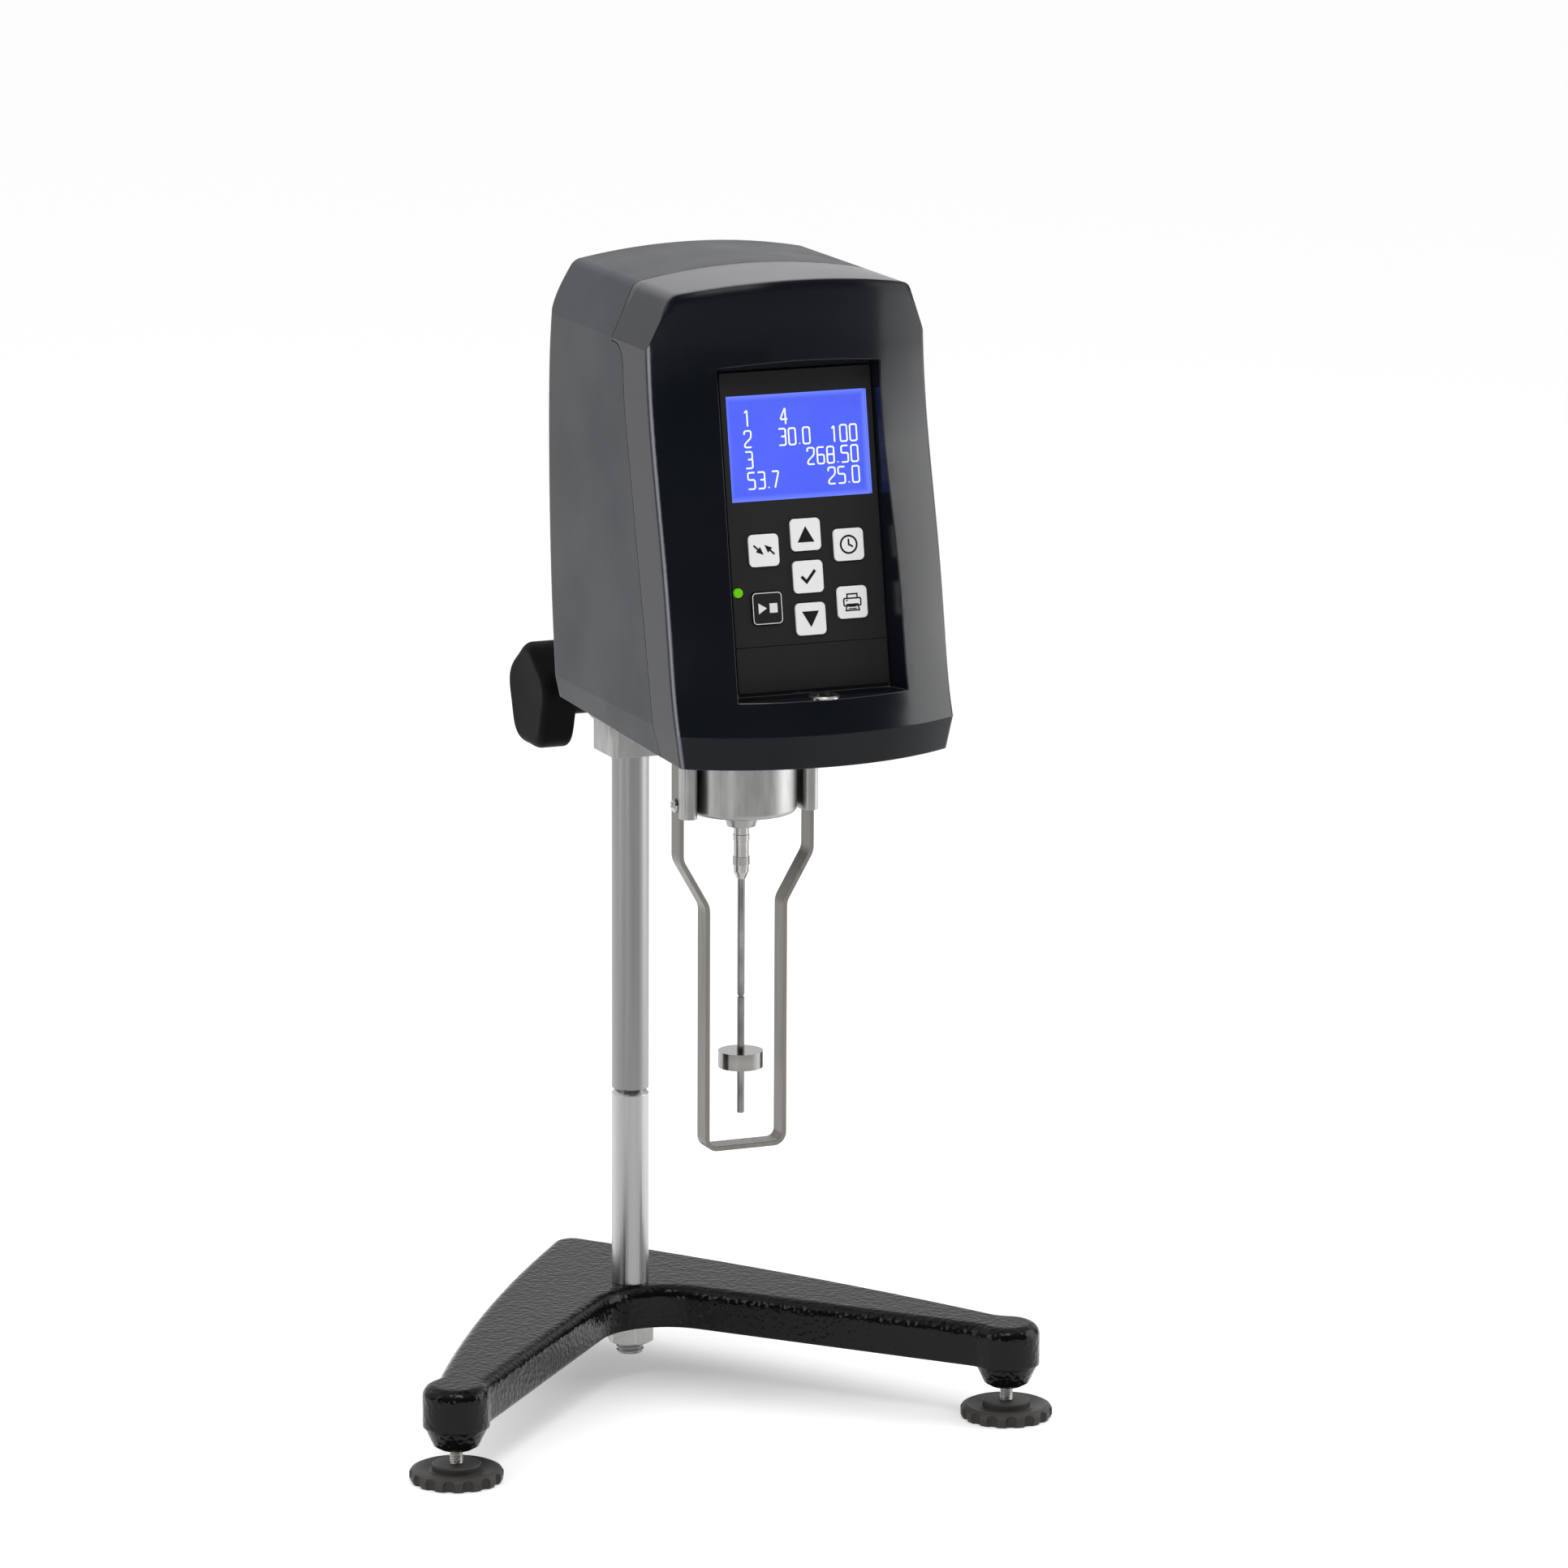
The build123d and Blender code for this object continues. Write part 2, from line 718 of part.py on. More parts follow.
def front_shell(outer, inner):
    shell = outer - behind_seam(seam_gap)
    shell -= inner - recess(wall)
    shell -= recess(0)
    floor = -wall - 1
    shell -= on_panel(0, display_low + display_length / 2, 2 * (display_half_width + loose_gap),
                      display_length + 2 * loose_gap, floor, 1)
    for x, up in key_places.values():
        shell -= on_panel(x, up, key_stem + 2 * loose_gap, key_stem + 2 * loose_gap, floor, 1, key_corner)
    shell -= panel_rod(led_radius + loose_gap, -led_x, led_up, floor, 1)
    for x, up in board_post_places():
        shell += panel_rod(board_post_radius, x, up, -board_drop, -wall / 2)
    y, z = level_place()
    shell -= rod(level_sleeve_radius + loose_gap, z - wall - 6, z + 2, 0, y)
    for boss in case_bosses(case_boss_places()[1]):
        shell += boss
    return shell


def rear_shell(outer, inner):
    shell = outer & behind_seam(0)
    bay = block(-bay_half_width, bay_half_width, -bay_y, 0, head_z + bay_low, head_z + bay_high)
    bay_wall = block(-bay_half_width - wall, bay_half_width + wall, -bay_y - wall, 0,
                     head_z + bay_low - wall, head_z + bay_high + wall)
    shell -= inner - bay_wall
    shell -= bay
    notch = arm_half_width + loose_gap
    shell -= block(-notch, notch, -foot_rear - 10, 0, head_z - 5, plate_top + arm_height + loose_gap)
    for hole in bay_holes():
        shell -= hole
    for boss in case_bosses(case_boss_places()[0]):
        shell += boss
    rear_wall_y = head_stations[2][2] + wall / 2
    for x in (-main_board_half_width + 4, main_board_half_width - 4):
        shell += rod_y(board_post_radius, -main_board_y, -rear_wall_y, x, head_z + main_board_high - 6)
    return shell


def chassis_plate():
    """Flat plate that closes the housing from below."""
    plan = head_plan(0, head_foot_half_width, foot_front, foot_rear, wall + loose_gap)
    plate = extrude(Pos(0, 0, plate_height) * plan, plate_thickness)
    plate -= rod(tube_radius + 1, plate_z - 1, plate_top + 1, 0, -spindle_y)
    for x, y in case_boss_places()[0] + case_boss_places()[1]:
        plate -= rod(case_screw_radius + running_gap, plate_z - 1, plate_top + 1, x, y)
    return plate


def case_screws():
    screws = []
    for x, y in case_boss_places()[0] + case_boss_places()[1]:
        screw = rod(case_screw_radius, plate_z, plate_top + case_boss_height - 3, x, y)
        head = rod(case_screw_head, plate_z - case_screw_head_height, plate_z, x, y)
        head = fillet(head.faces().sort_by(Axis.Z)[0].edges(), 0.8)
        head -= block(x - 0.4, x + 0.4, y - 2, y + 2, plate_z - 3, plate_z - 1.2)
        head -= block(x - 2, x + 2, y - 0.4, y + 0.4, plate_z - 3, plate_z - 1.2)
        screws.append(screw + head)
    return screws


# Front panel

def board_post_places():
    low = key_board_low + board_post_inset
    high = key_board_high - board_post_inset
    x = key_board_half_width - board_post_inset + 1
    return [(-x, low), (x, low), (-x, high), (x, high)]


def keypad_overlay():
    """Thin sheet over the panel, cut out for the display, the keys and the lamp."""
    high = panel_length - loose_gap
    sheet = on_panel(0, (overlay_low + high) / 2, 2 * (panel_half_width - loose_gap), high - overlay_low,
                     0, overlay_thickness, 1.0)
    sheet -= on_panel(0, display_low + display_length / 2, 2 * display_half_width + loose_gap,
                      display_length + loose_gap, -1, 2)
    hole = key_size + 2 * loose_gap
    for x, up in key_places.values():
        sheet -= on_panel(x, up, hole, hole, -1, 2, key_corner + loose_gap)
    sheet -= panel_rod(led_radius + loose_gap, -led_x, led_up, -1, 2)
    return sheet


def lower_cover():
    high = overlay_low - loose_gap
    return on_panel(0, high / 2, 2 * (panel_half_width - loose_gap), high, 0, overlay_thickness, 1.0)


def display_window():
    return on_panel(0, display_low + display_length / 2, 2 * display_half_width, display_length,
                    overlay_thickness - window_thickness, overlay_thickness)


def lcd_module():
    """Display module: glass stack in the shell's opening and its board behind."""
    up = display_low + display_length / 2
    glass_front = overlay_thickness - window_thickness - loose_gap
    glass = on_panel(0, up, 2 * display_half_width, display_length, -wall, glass_front)
    body = on_panel(0, up, 2 * lcd_body_half_width, lcd_body_length, -wall - lcd_depth, -wall, 1.5)
    return glass + body


def led_lens():
    lens = panel_rod(led_radius, -led_x, led_up, -board_drop, overlay_thickness + 0.4)
    return lens


def key_cap(place):
    """Square key with a stem through the panel."""
    x, up = place
    low = key_travel + key_rest_gap
    cap = on_panel(x, up, key_size, key_size, low, low + key_thickness, key_corner)
    stem = on_panel(x, up, key_stem, key_stem, low + switch_height - board_drop, low, key_corner)
    return cap + stem


def key_board():
    middle = (key_board_low + key_board_high) / 2
    board = on_panel(0, middle, 2 * key_board_half_width, key_board_high - key_board_low,
                     -board_drop - board_thickness, -board_drop, 1.0)
    for x, up in key_places.values():
        board += on_panel(x, up, switch_size, switch_size, -board_drop, -board_drop + switch_height)
    return board


def level_ring():
    """Bright flanged ring of the bubble level."""
    y, z = level_place()
    ring = turned([
        (level_vial_radius + running_gap, z - level_sleeve_depth), (level_sleeve_radius, z - level_sleeve_depth),
        (level_sleeve_radius, z), (level_ring_radius, z), (level_ring_radius, z + 0.5),
        (level_ring_radius - 0.6, z + level_ring_height), (level_vial_radius - 0.9, z + level_ring_height),
        (level_vial_radius - 0.9, z + 0.4), (level_vial_radius + running_gap, z + 0.4),
    ])
    return Pos(0, y, 0) * ring


def level_vial():
    y, z = level_place()
    vial = rod(level_vial_radius, z - level_sleeve_depth, z + 0.35, 0, y)
    vial -= rod(level_vial_radius - 0.9, z - 3.2, z - 0.6, 0, y)
    return vial


def level_bubble():
    y, z = level_place()
    return rod(1.3, z - 1.4, z - 0.65, 0.4, y)


# Cup, guard and spindle

def pivot_cup():
    """Turned cup under the head with the neck that the shaft hangs through."""
    cup = turned([
        (neck_bore, neck_z), (neck_radius - 0.8, neck_z), (neck_radius, neck_z + 3),
        (neck_radius, cup_z), (cup_radius, cup_z), (cup_radius, plate_z),
        (cup_radius - cup_wall, plate_z), (cup_radius - cup_wall, cup_z + cup_wall),
        (neck_bore, cup_z + cup_wall),
    ])
    rim = cup.edges().filter_by(GeomType.CIRCLE).sort_by(Axis.Z)
    rim = [e for e in rim if abs(e.radius - cup_radius) < 0.01 and abs(e.center().Z - cup_z) < 0.01]
    return Pos(0, -spindle_y, 0) * fillet(rim, cup_edge)


def guard_post(side):
    """Post with a rounded front and a rebate that holds the guard strip."""
    plan = make_face(Polyline(
        (post_inner_x, -post_front), (post_outer_x, -post_front), (post_outer_x, -guard_front),
        (guard_half_width - guard_thickness, -guard_front),
        (guard_half_width - guard_thickness, guard_width - guard_front),
        (post_inner_x, guard_width - guard_front), close=True,
    ))
    plan = fillet(plan.vertices().sort_by(Axis.Y)[:2], post_round)
    post = extrude(Pos(0, -spindle_y, cup_z) * plan, plate_z - cup_z)
    y = guard_front - guard_width / 2 + spindle_y
    z = head_z - guard_screw_drop
    post -= rod_x(screw_radius + running_gap, post_inner_x + 0.6, guard_half_width + 1, -y, z)
    return post if side > 0 else mirror(post, Plane.YZ)


def guard_strip():
    """Flat strip bent round the spindle."""
    half = guard_half_width - guard_thickness / 2
    lower = guard_lower_half_width - guard_thickness / 2
    top = plate_height - guard_top_gap - guard_thickness / 2
    bottom = -guard_bottom + guard_thickness / 2
    line = FilletPolyline(
        (-half, top), (-half, -guard_bend_high), (-lower, -guard_bend_low), (-lower, bottom),
        (lower, bottom), (lower, -guard_bend_low), (half, -guard_bend_high), (half, top),
        radius=[guard_bend_round, guard_bend_round, guard_foot_round,
                guard_foot_round, guard_bend_round, guard_bend_round],
    )
    face = make_face(offset(line, guard_thickness / 2, side=Side.BOTH, kind=Kind.INTERSECTION))
    strip = extrude(Plane.XZ * face, guard_width)
    strip = Pos(0, -spindle_y - guard_front + guard_width, head_z) * strip
    y = -spindle_y - guard_front + guard_width / 2
    z = head_z - guard_screw_drop
    for side in (-1, 1):
        strip -= rod_x(screw_radius + 0.1, side * (guard_half_width - 4), side * (guard_half_width + 1), y, z)
    return strip


def guard_screws():
    y = -spindle_y - guard_front + guard_width / 2
    z = head_z - guard_screw_drop
    profile = make_face([
        Line((0, 0, 0), (screw_head_radius, 0, 0)),
        Line((screw_head_radius, 0, 0), (screw_head_radius, 0, 0.3)),
        ThreePointArc((screw_head_radius, 0, 0.3), (screw_head_radius * 0.6, 0, screw_head_height * 0.8),
                      (0, 0, screw_head_height)),
        Line((0, 0, screw_head_height), (0, 0, 0)),
    ])
    screw = revolve(profile, Axis.Z)
    screw -= block(-0.4, 0.4, -screw_head_radius, screw_head_radius, screw_head_height - 0.9,
                   screw_head_height + 1)
    screw += rod(screw_radius, post_inner_x + 1 - guard_half_width, 0.2)
    return [Pos(side * guard_half_width, y, z) * Rot(0, side * 90, 0) * screw for side in (-1, 1)]


def pivot_shaft():
    """Measuring shaft with the thicker threaded end below the neck."""
    shaft = turned([
        (0, coupling_top), (pivot_end_radius, coupling_top), (pivot_end_radius, coupling_top + 0.4),
        (pivot_end_radius + 0.2, coupling_top + 0.5), (pivot_end_radius + 0.2, coupling_top + 2.8),
        (pivot_end_radius, coupling_top + 3.0), (pivot_end_radius, neck_z + 3),
        (pivot_radius, neck_z + 4), (pivot_radius, plate_top + pivot_top),
        (0, plate_top + pivot_top),
    ])
    return Pos(0, -spindle_y, 0) * shaft


def spindle_coupling():
    """Hub with a knurled band that screws on to the measuring shaft."""
    bottom = coupling_top - coupling_length
    hub = turned([
        (0, bottom - coupling_taper), (spindle_radius + 0.3, bottom - coupling_taper),
        (coupling_radius, bottom), (coupling_radius, coupling_top), (0, coupling_top),
    ])
    knurl_top = coupling_top - knurl_drop
    ring = rod(knurl_radius, knurl_top - knurl_length, knurl_top)
    notch = rod(0.28, knurl_top - knurl_length - 1, knurl_top + 1, knurl_radius + 0.05)
    for number in range(knurl_teeth):
        ring -= Rot(0, 0, 360 * number / knurl_teeth) * notch
    hub += ring
    hub -= rod(spindle_radius + 0.01, bottom - coupling_taper - 1, bottom)
    return Pos(0, -spindle_y, 0) * hub


def spindle():
    """Rod with its immersion groove and disc."""
    groove = spindle_tip_z + groove_above_tip
    disc = spindle_tip_z + disc_bob_above_tip
    neck = spindle_radius - groove_depth
    body = turned([
        (0, spindle_tip_z), (spindle_radius - 0.3, spindle_tip_z), (spindle_radius, spindle_tip_z + 0.3),
        (spindle_radius, disc), (disc_bob_radius, disc), (disc_bob_radius, disc + disc_bob_length),
        (spindle_radius, disc + disc_bob_length), (spindle_radius, groove - groove_width / 2),
        (neck, groove - groove_width / 4), (neck, groove + groove_width / 4),
        (spindle_radius, groove + groove_width / 2), (spindle_radius, spindle_top), (0, spindle_top),
    ])
    return Pos(0, -spindle_y, 0) * body


# Measuring unit

def bearing_block():
    low = plate_top
    bearing = turned([
        (tube_radius + running_gap, low), (bearing_flange_radius, low), (bearing_flange_radius, low + bearing_flange),
        (bearing_radius, low + bearing_flange), (bearing_radius, low + bearing_length),
        (tube_radius + running_gap, low + bearing_length),
    ])
    return Pos(0, -spindle_y, 0) * bearing


def drive_tube():
    low = plate_top + tube_foot
    high = plate_top + tube_length
    journal = pivot_radius + running_gap
    collar = plate_top + bearing_length + loose_gap
    tube = turned([
        (journal, low), (tube_radius, low), (tube_radius, collar), (tube_collar_radius, collar),
        (tube_collar_radius, collar + 1.5), (tube_radius, collar + 1.5), (tube_radius, high),
        (journal, high), (journal, high - tube_journal), (tube_bore, high - tube_journal),
        (tube_bore, low + tube_journal), (journal, low + tube_journal),
    ])
    return Pos(0, -spindle_y, 0) * tube


def drive_gear():
    low = plate_top + gear_height
    gear = extrude(gear_face(drive_teeth, gear_module, gear_module), gear_width)
    hub_low = bearing_length + loose_gap + 1.5 - gear_height
    gear += rod(gear_hub_radius, hub_low, 0.5)
    gear -= rod(tube_radius, hub_low - 1, gear_width + 1)
    for number in range(6):
        gear -= Rot(0, 0, 30 + 60 * number) * rod(2.4, -1, gear_width + 1, 13.2)
    # half a tooth on, so that the motor's tooth meets a gap on the rear side
    return Pos(0, -spindle_y, low) * Rot(0, 0, 180 / drive_teeth) * gear


def slotted_disc(hub_radius, height):
    disc = rod(disc_radius, height, height + disc_thickness)
    slot = block(disc_radius - 2.2, disc_radius + 1, -0.5, 0.5, height - 1, height + disc_thickness + 1)
    for number in range(disc_slots):
        disc -= Rot(0, 0, 360 * number / disc_slots) * slot
    return disc


def drive_disc():
    """Slotted disc on the driven tube, with the post that holds the hairspring."""
    low = plate_top + tube_length
    disc = slotted_disc(tube_radius, low)
    disc -= rod(pivot_radius + 1, low - 1, low + 2)
    x = spring_post_place * cos(spring_start)
    y = spring_post_place * sin(spring_start)
    disc += rod(spring_post_radius, low, plate_top + spring_height + spring_width, x, y)
    return Pos(0, -spindle_y, 0) * disc


def hairspring():
    """Flat spiral spring between the driven post and the collet of the measuring shaft."""
    inner = collet_radius + 0.3 + spring_strip
    outer = spring_post_place - spring_post_radius - running_gap
    steps = spring_turns * 12

    def place(step, shift):
        radius = outer + (inner - outer) * step / steps + shift
        angle = spring_start - 2 * pi * spring_turns * step / steps
        return (radius * cos(angle), radius * sin(angle))

    outside = [place(step, 0) for step in range(steps + 1)]
    inside = [place(step, -spring_strip) for step in range(steps, -1, -1)]
    face = make_face([
        Spline(*outside), Line(outside[-1], inside[0]), Spline(*inside), Line(inside[-1], outside[0]),
    ])
    return extrude(Pos(0, -spindle_y, plate_top + spring_height) * face, spring_width)


def pivot_disc():
    low = plate_top + pivot_disc_height
    disc = slotted_disc(collet_radius, low)
    disc += rod(collet_radius, plate_top + tube_length + 2, low + 3)
    disc -= rod(pivot_radius, plate_top, low + 10)
    return Pos(0, -spindle_y, 0) * disc


def encoder_sensor():
    """Two forked light gates on a stalk beside the discs."""
    stalk_x = gear_module * drive_teeth / 2 + 3.0
    top = plate_top + pivot_disc_height + 4.0
    sensor = block(stalk_x, stalk_x + 5, -4, 4, plate_top, top)
    for height in (tube_length, pivot_disc_height):
        middle = plate_top + height + disc_thickness / 2
        for low, high in ((-3.0, -1.0), (1.0, 3.0)):
            sensor += block(disc_radius - 1.5, stalk_x + 1, -3, 3, middle + low, middle + high)
        sensor += block(disc_radius + 1.5, stalk_x + 1, -3, 3, middle - 3, middle + 3)
    return Pos(0, -spindle_y, 0) * sensor


def motor_bracket():
    low = plate_top + motor_bracket_height
    sheet = block(-21, 21, -motor_y - 15, -motor_y + 17, low, low + bracket_sheet)
    for side in (-1, 1):
        x1, x2 = sorted((side * 18, side * 21))
        sheet += block(x1, x2, -motor_y - 2, -motor_y + 17, plate_top, low + 1)
        x1, x2 = sorted((side * 18, side * 28))
        sheet += block(x1, x2, -motor_y - 2, -motor_y + 17, plate_top, plate_top + bracket_sheet)
    sheet -= rod(6.0, low - 1, low + bracket_sheet + 1, 0, -motor_y)
    return sheet


def motor():
    low = plate_top + motor_bracket_height + bracket_sheet
    half = motor_size / 2
    body = block(-half, half, -motor_y - half, -motor_y + half, low, low + motor_length)
    body = chamfer(body.edges().filter_by(Axis.Z), 3.0)
    body += rod(5.7, low - 1.5, low + 1, 0, -motor_y)
    body -= rod(motor_shaft_radius + running_gap, low - 3, low + 10, 0, -motor_y)
    return body


def motor_pinion():
    low = plate_top + gear_height
    gear = extrude(gear_face(motor_teeth, gear_module, gear_module), gear_width)
    shaft = rod(motor_shaft_radius, 0, motor_bracket_height + bracket_sheet + 8 - gear_height)
    return Pos(0, -motor_y, low) * (gear + shaft)


# Rear connections

def main_board():
    low = head_z + bay_low - 6
    high = head_z + main_board_high
    board = block(-main_board_half_width, main_board_half_width, -main_board_y - board_thickness, -main_board_y,
                  low, high)
    parts = [(-30, 100, 14, 14, 3), (-5, 104, 22, 10, 2.5), (24, 106, 12, 16, 4), (-25, 72, 10, 20, 3),
             (10, 74, 26, 9, 6), (30, 60, 9, 9, 8)]
    for x, up, width, height, depth in parts:
        board += block(x - width / 2, x + width / 2, -main_board_y - board_thickness - depth,
                       -main_board_y - board_thickness, head_z + up - height / 2, head_z + up + height / 2)
    return board


def bay_holes():
    low = head_z + connector_low
    high = head_z + connector_high
    gap = running_gap
    return [
        rod_y(inlet_radius + gap, -bay_y - wall - 1, 0, -connector_x, low),
        rod_y(probe_radius + gap, -bay_y - wall - 1, 0, connector_x, high),
        block(connector_x - 9.5, connector_x + 9.5, -bay_y - wall - 1, 0, low - 5.5, low + 5.5),
        block(-connector_x - switch_half_width + 0.9, -connector_x + switch_half_width - 0.9,
              -bay_y - wall - 1, 0, high - switch_half_height + 0.9, high + switch_half_height - 0.9),
    ]


def power_inlet():
    """Round low-voltage socket."""
    z = head_z + connector_low
    body = rod_y(inlet_radius, -main_board_y, -bay_y, -connector_x, z)
    body += rod_y(inlet_radius + 1.5, -bay_y, -bay_y + 1.2, -connector_x, z)
    body -= rod_y(inlet_bore, -main_board_y + 2, 0, -connector_x, z)
    return body


def probe_socket():
    """Round socket for a temperature probe."""
    z = head_z + connector_high
    body = rod_y(probe_radius, -main_board_y, -bay_y, connector_x, z)
    body += rod_y(probe_radius + 1.5, -bay_y, -bay_y + 1.5, connector_x, z)
    body -= rod_y(probe_radius - 1.4, -bay_y - 5, 0, connector_x, z)
    for number in range(4):
        angle = radians(45 + 90 * number)
        body += rod_y(0.5, -bay_y - 5.5, -bay_y - 1, connector_x + 2.4 * cos(angle), z + 2.4 * sin(angle))
    return body


def serial_socket():
    """Nine-pin socket with its flange and two jack nuts."""
    z = head_z + connector_low
    flange = block(connector_x - serial_half_width, connector_x + serial_half_width, -bay_y, -bay_y + 0.8,
                   z - serial_half_height, z + serial_half_height)
    flange = chamfer(flange.edges().filter_by(Axis.Y), 1.0)
    mouth = Polyline((-8.2, 4.0), (8.2, 4.0), (7.0, -4.0), (-7.0, -4.0), close=True)
    shroud = extrude(Plane.XZ * make_face(mouth), -5.5)
    shroud = Pos(connector_x, -bay_y + 0.6, z) * shroud
    body = block(connector_x - 9.2, connector_x + 9.2, -main_board_y, -bay_y, z - 5.2, z + 5.2)
    body += flange
    body += shroud
    for count, height in ((5, 1.4), (4, -1.4)):
        for number in range(count):
            x = connector_x + (number - (count - 1) / 2) * 2.77
            body -= rod_y(0.55, -bay_y + 1, -bay_y + 8, x, z + height)
    for side in (-1, 1):
        nut = extrude(RegularPolygon(2.4, 6), 4)
        nut = Rot(90, 0, 0) * nut
        body += Pos(connector_x + side * 12.5, -bay_y + 4.6, z) * nut
        body -= rod_y(1.3, -bay_y + 1, -bay_y + 8, connector_x + side * 12.5, z)
    return body


def switch_centre():
    return -connector_x, -bay_y - 2.0, head_z + connector_high


def power_switch():
    """Frame of the rocker switch."""
    x, y, z = switch_centre()
    frame = block(x - switch_half_width, x + switch_half_width, -bay_y, -bay_y + 1.5,
                  z - switch_half_height, z + switch_half_height)
    frame = chamfer(frame.faces().sort_by(Axis.Y)[-1].edges(), 0.7)
    frame += block(x - switch_half_width + 1, x + switch_half_width - 1, -main_board_y, -bay_y,
                   z - switch_half_height + 1, z + switch_half_height - 1)
    frame -= block(x - rocker_half_width - loose_gap, x + rocker_half_width + loose_gap, y, -bay_y + 3,
                   z - rocker_radius - loose_gap, z + rocker_radius + loose_gap)
    frame -= rod_x(rocker_radius + loose_gap, x - rocker_half_width - loose_gap,
                   x + rocker_half_width + loose_gap, y, z)
    frame += rod_x(1.0, x - switch_half_width + 1, x + switch_half_width - 1, y, z)
    return frame


def switch_rocker():
    """Rocker with two slanting faces, tipped to one side."""
    x, y, z = switch_centre()
    rocker = rod_x(rocker_radius, -rocker_half_width, rocker_half_width, 0, 0)
    rocker &= block(-rocker_half_width, rocker_half_width, -3.5, rocker_radius, -rocker_radius, rocker_radius)
    for side in (-1, 1):
        cut = block(-rocker_half_width - 1, rocker_half_width + 1, 0, 10, -20, 20)
        cut = Rot(side * 9, 0, 0) * Pos(0, 5.0, 0) * cut
        half = block(-rocker_half_width - 1, rocker_half_width + 1, -10, 20, 0, 20)
        rocker -= cut & (half if side < 0 else mirror(half, Plane.XY))
    rocker -= rod_x(1.0 + running_gap, -rocker_half_width - 1, rocker_half_width + 1, 0, 0)
    return Pos(x, y, z) * Rot(rocker_tilt, 0, 0) * rocker


def build_parts():
    """All pieces by name, drawn about the column's axis."""
    outer = head_form(0) - under_head()
    inner = head_form(wall)
    pieces = {
        "base_casting": base_casting(),
        "rear_foot_pad": rear_foot_pad(),
        "foot_stud_left": foot_stud(-1),
        "foot_stud_right": foot_stud(1),
        "foot_wheel_left": foot_wheel(-1),
        "foot_wheel_right": foot_wheel(1),
        "column_lower": column_lower(),
        "column_upper": column_upper(),
        "column_nut": column_nut(),
        "carriage_block": carriage_block(),
        "pinion_bush": pinion_bush(),
        "pinion_shaft": pinion_shaft(),
        "lift_knob": lift_knob(),
        "head_bracket": head_bracket(),
        "front_shell": front_shell(outer, inner),
        "rear_shell": rear_shell(outer, inner),
        "chassis_plate": chassis_plate(),
        "case_screws": case_screws(),
        "keypad_overlay": keypad_overlay(),
        "lower_cover": lower_cover(),
        "display_window": display_window(),
        "lcd_module": lcd_module(),
        "led_lens": led_lens(),
        "key_board": key_board(),
        "level_ring": level_ring(),
        "level_vial": level_vial(),
        "level_bubble": level_bubble(),
        "pivot_cup": pivot_cup(),
        "guard_post_left": guard_post(-1),
        "guard_post_right": guard_post(1),
        "guard_strip": guard_strip(),
        "guard_screws": guard_screws(),
        "pivot_shaft": pivot_shaft(),
        "spindle_coupling": spindle_coupling(),
        "spindle": spindle(),
        "bearing_block": bearing_block(),
        "drive_tube": drive_tube(),
        "drive_gear": drive_gear(),
        "drive_disc": drive_disc(),
        "hairspring": hairspring(),
        "pivot_disc": pivot_disc(),
        "encoder_sensor": encoder_sensor(),
        "motor_bracket": motor_bracket(),
        "motor": motor(),
        "motor_pinion": motor_pinion(),
        "main_board": main_board(),
        "power_inlet": power_inlet(),
        "probe_socket": probe_socket(),
        "serial_socket": serial_socket(),
        "power_switch": power_switch(),
        "switch_rocker": switch_rocker(),
    }
    for name, place in key_places.items():
        pieces[name] = key_cap(place)
    return pieces


pieces = build_parts()
solids = []
for piece in pieces.values():
    solids += piece if isinstance(piece, list) else [piece]
box = Compound(children=[Compound(s.solids()) for s in solids]).bounding_box()
home = Pos(-(box.min.X + box.max.X) / 2, -(box.min.Y + box.max.Y) / 2, -box.min.Z)
os.makedirs("parts", exist_ok=True)
for name, piece in pieces.items():
    group = piece if isinstance(piece, list) else [piece]
    placed = [home * solid for item in group for solid in item.solids()]
    shape = placed[0] if len(placed) == 1 else Compound(placed)
    export_step(shape, f"parts/{name}.step")
print("column axis at", round(home.position.X, 3), round(home.position.Y, 3), round(home.position.Z, 3))
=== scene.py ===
# %% [markdown]
# # A bench viscometer on its stand
#
# The instrument is already there as solid parts: a moulded head, a column with a rack, a spindle in
# its strip guard, and a V-shaped casting on levelling wheels. This lesson gives every part the
# finish that the real one has, and adds what is too fine for the solids: the figures on the
# display, the symbols on the keys and the threads on the screws.
#
# All sizes are in metres, in the same frame as the parts. The front faces -Y and Z is up.

# %% Load the parts
import json
from math import asin, cos, pi, radians, sin, tau

import bmesh
import bpy
from mathutils import Matrix, Vector


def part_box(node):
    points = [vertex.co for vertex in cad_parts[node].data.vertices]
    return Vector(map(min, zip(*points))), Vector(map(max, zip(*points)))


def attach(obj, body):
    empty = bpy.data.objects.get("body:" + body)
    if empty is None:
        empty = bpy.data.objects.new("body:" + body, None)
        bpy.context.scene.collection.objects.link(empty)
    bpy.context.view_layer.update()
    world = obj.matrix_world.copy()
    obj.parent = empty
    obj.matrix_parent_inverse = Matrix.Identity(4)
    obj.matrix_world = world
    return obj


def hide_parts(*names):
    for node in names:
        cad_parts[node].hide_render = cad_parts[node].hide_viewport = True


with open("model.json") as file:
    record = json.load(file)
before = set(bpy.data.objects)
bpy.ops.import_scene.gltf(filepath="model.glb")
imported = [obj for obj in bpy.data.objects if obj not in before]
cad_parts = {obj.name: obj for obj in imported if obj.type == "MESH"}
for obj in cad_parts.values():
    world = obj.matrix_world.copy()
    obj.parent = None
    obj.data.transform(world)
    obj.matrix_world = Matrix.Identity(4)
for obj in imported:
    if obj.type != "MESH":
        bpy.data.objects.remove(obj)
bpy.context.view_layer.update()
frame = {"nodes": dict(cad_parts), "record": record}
nodes = frame["nodes"]
MM = 0.001

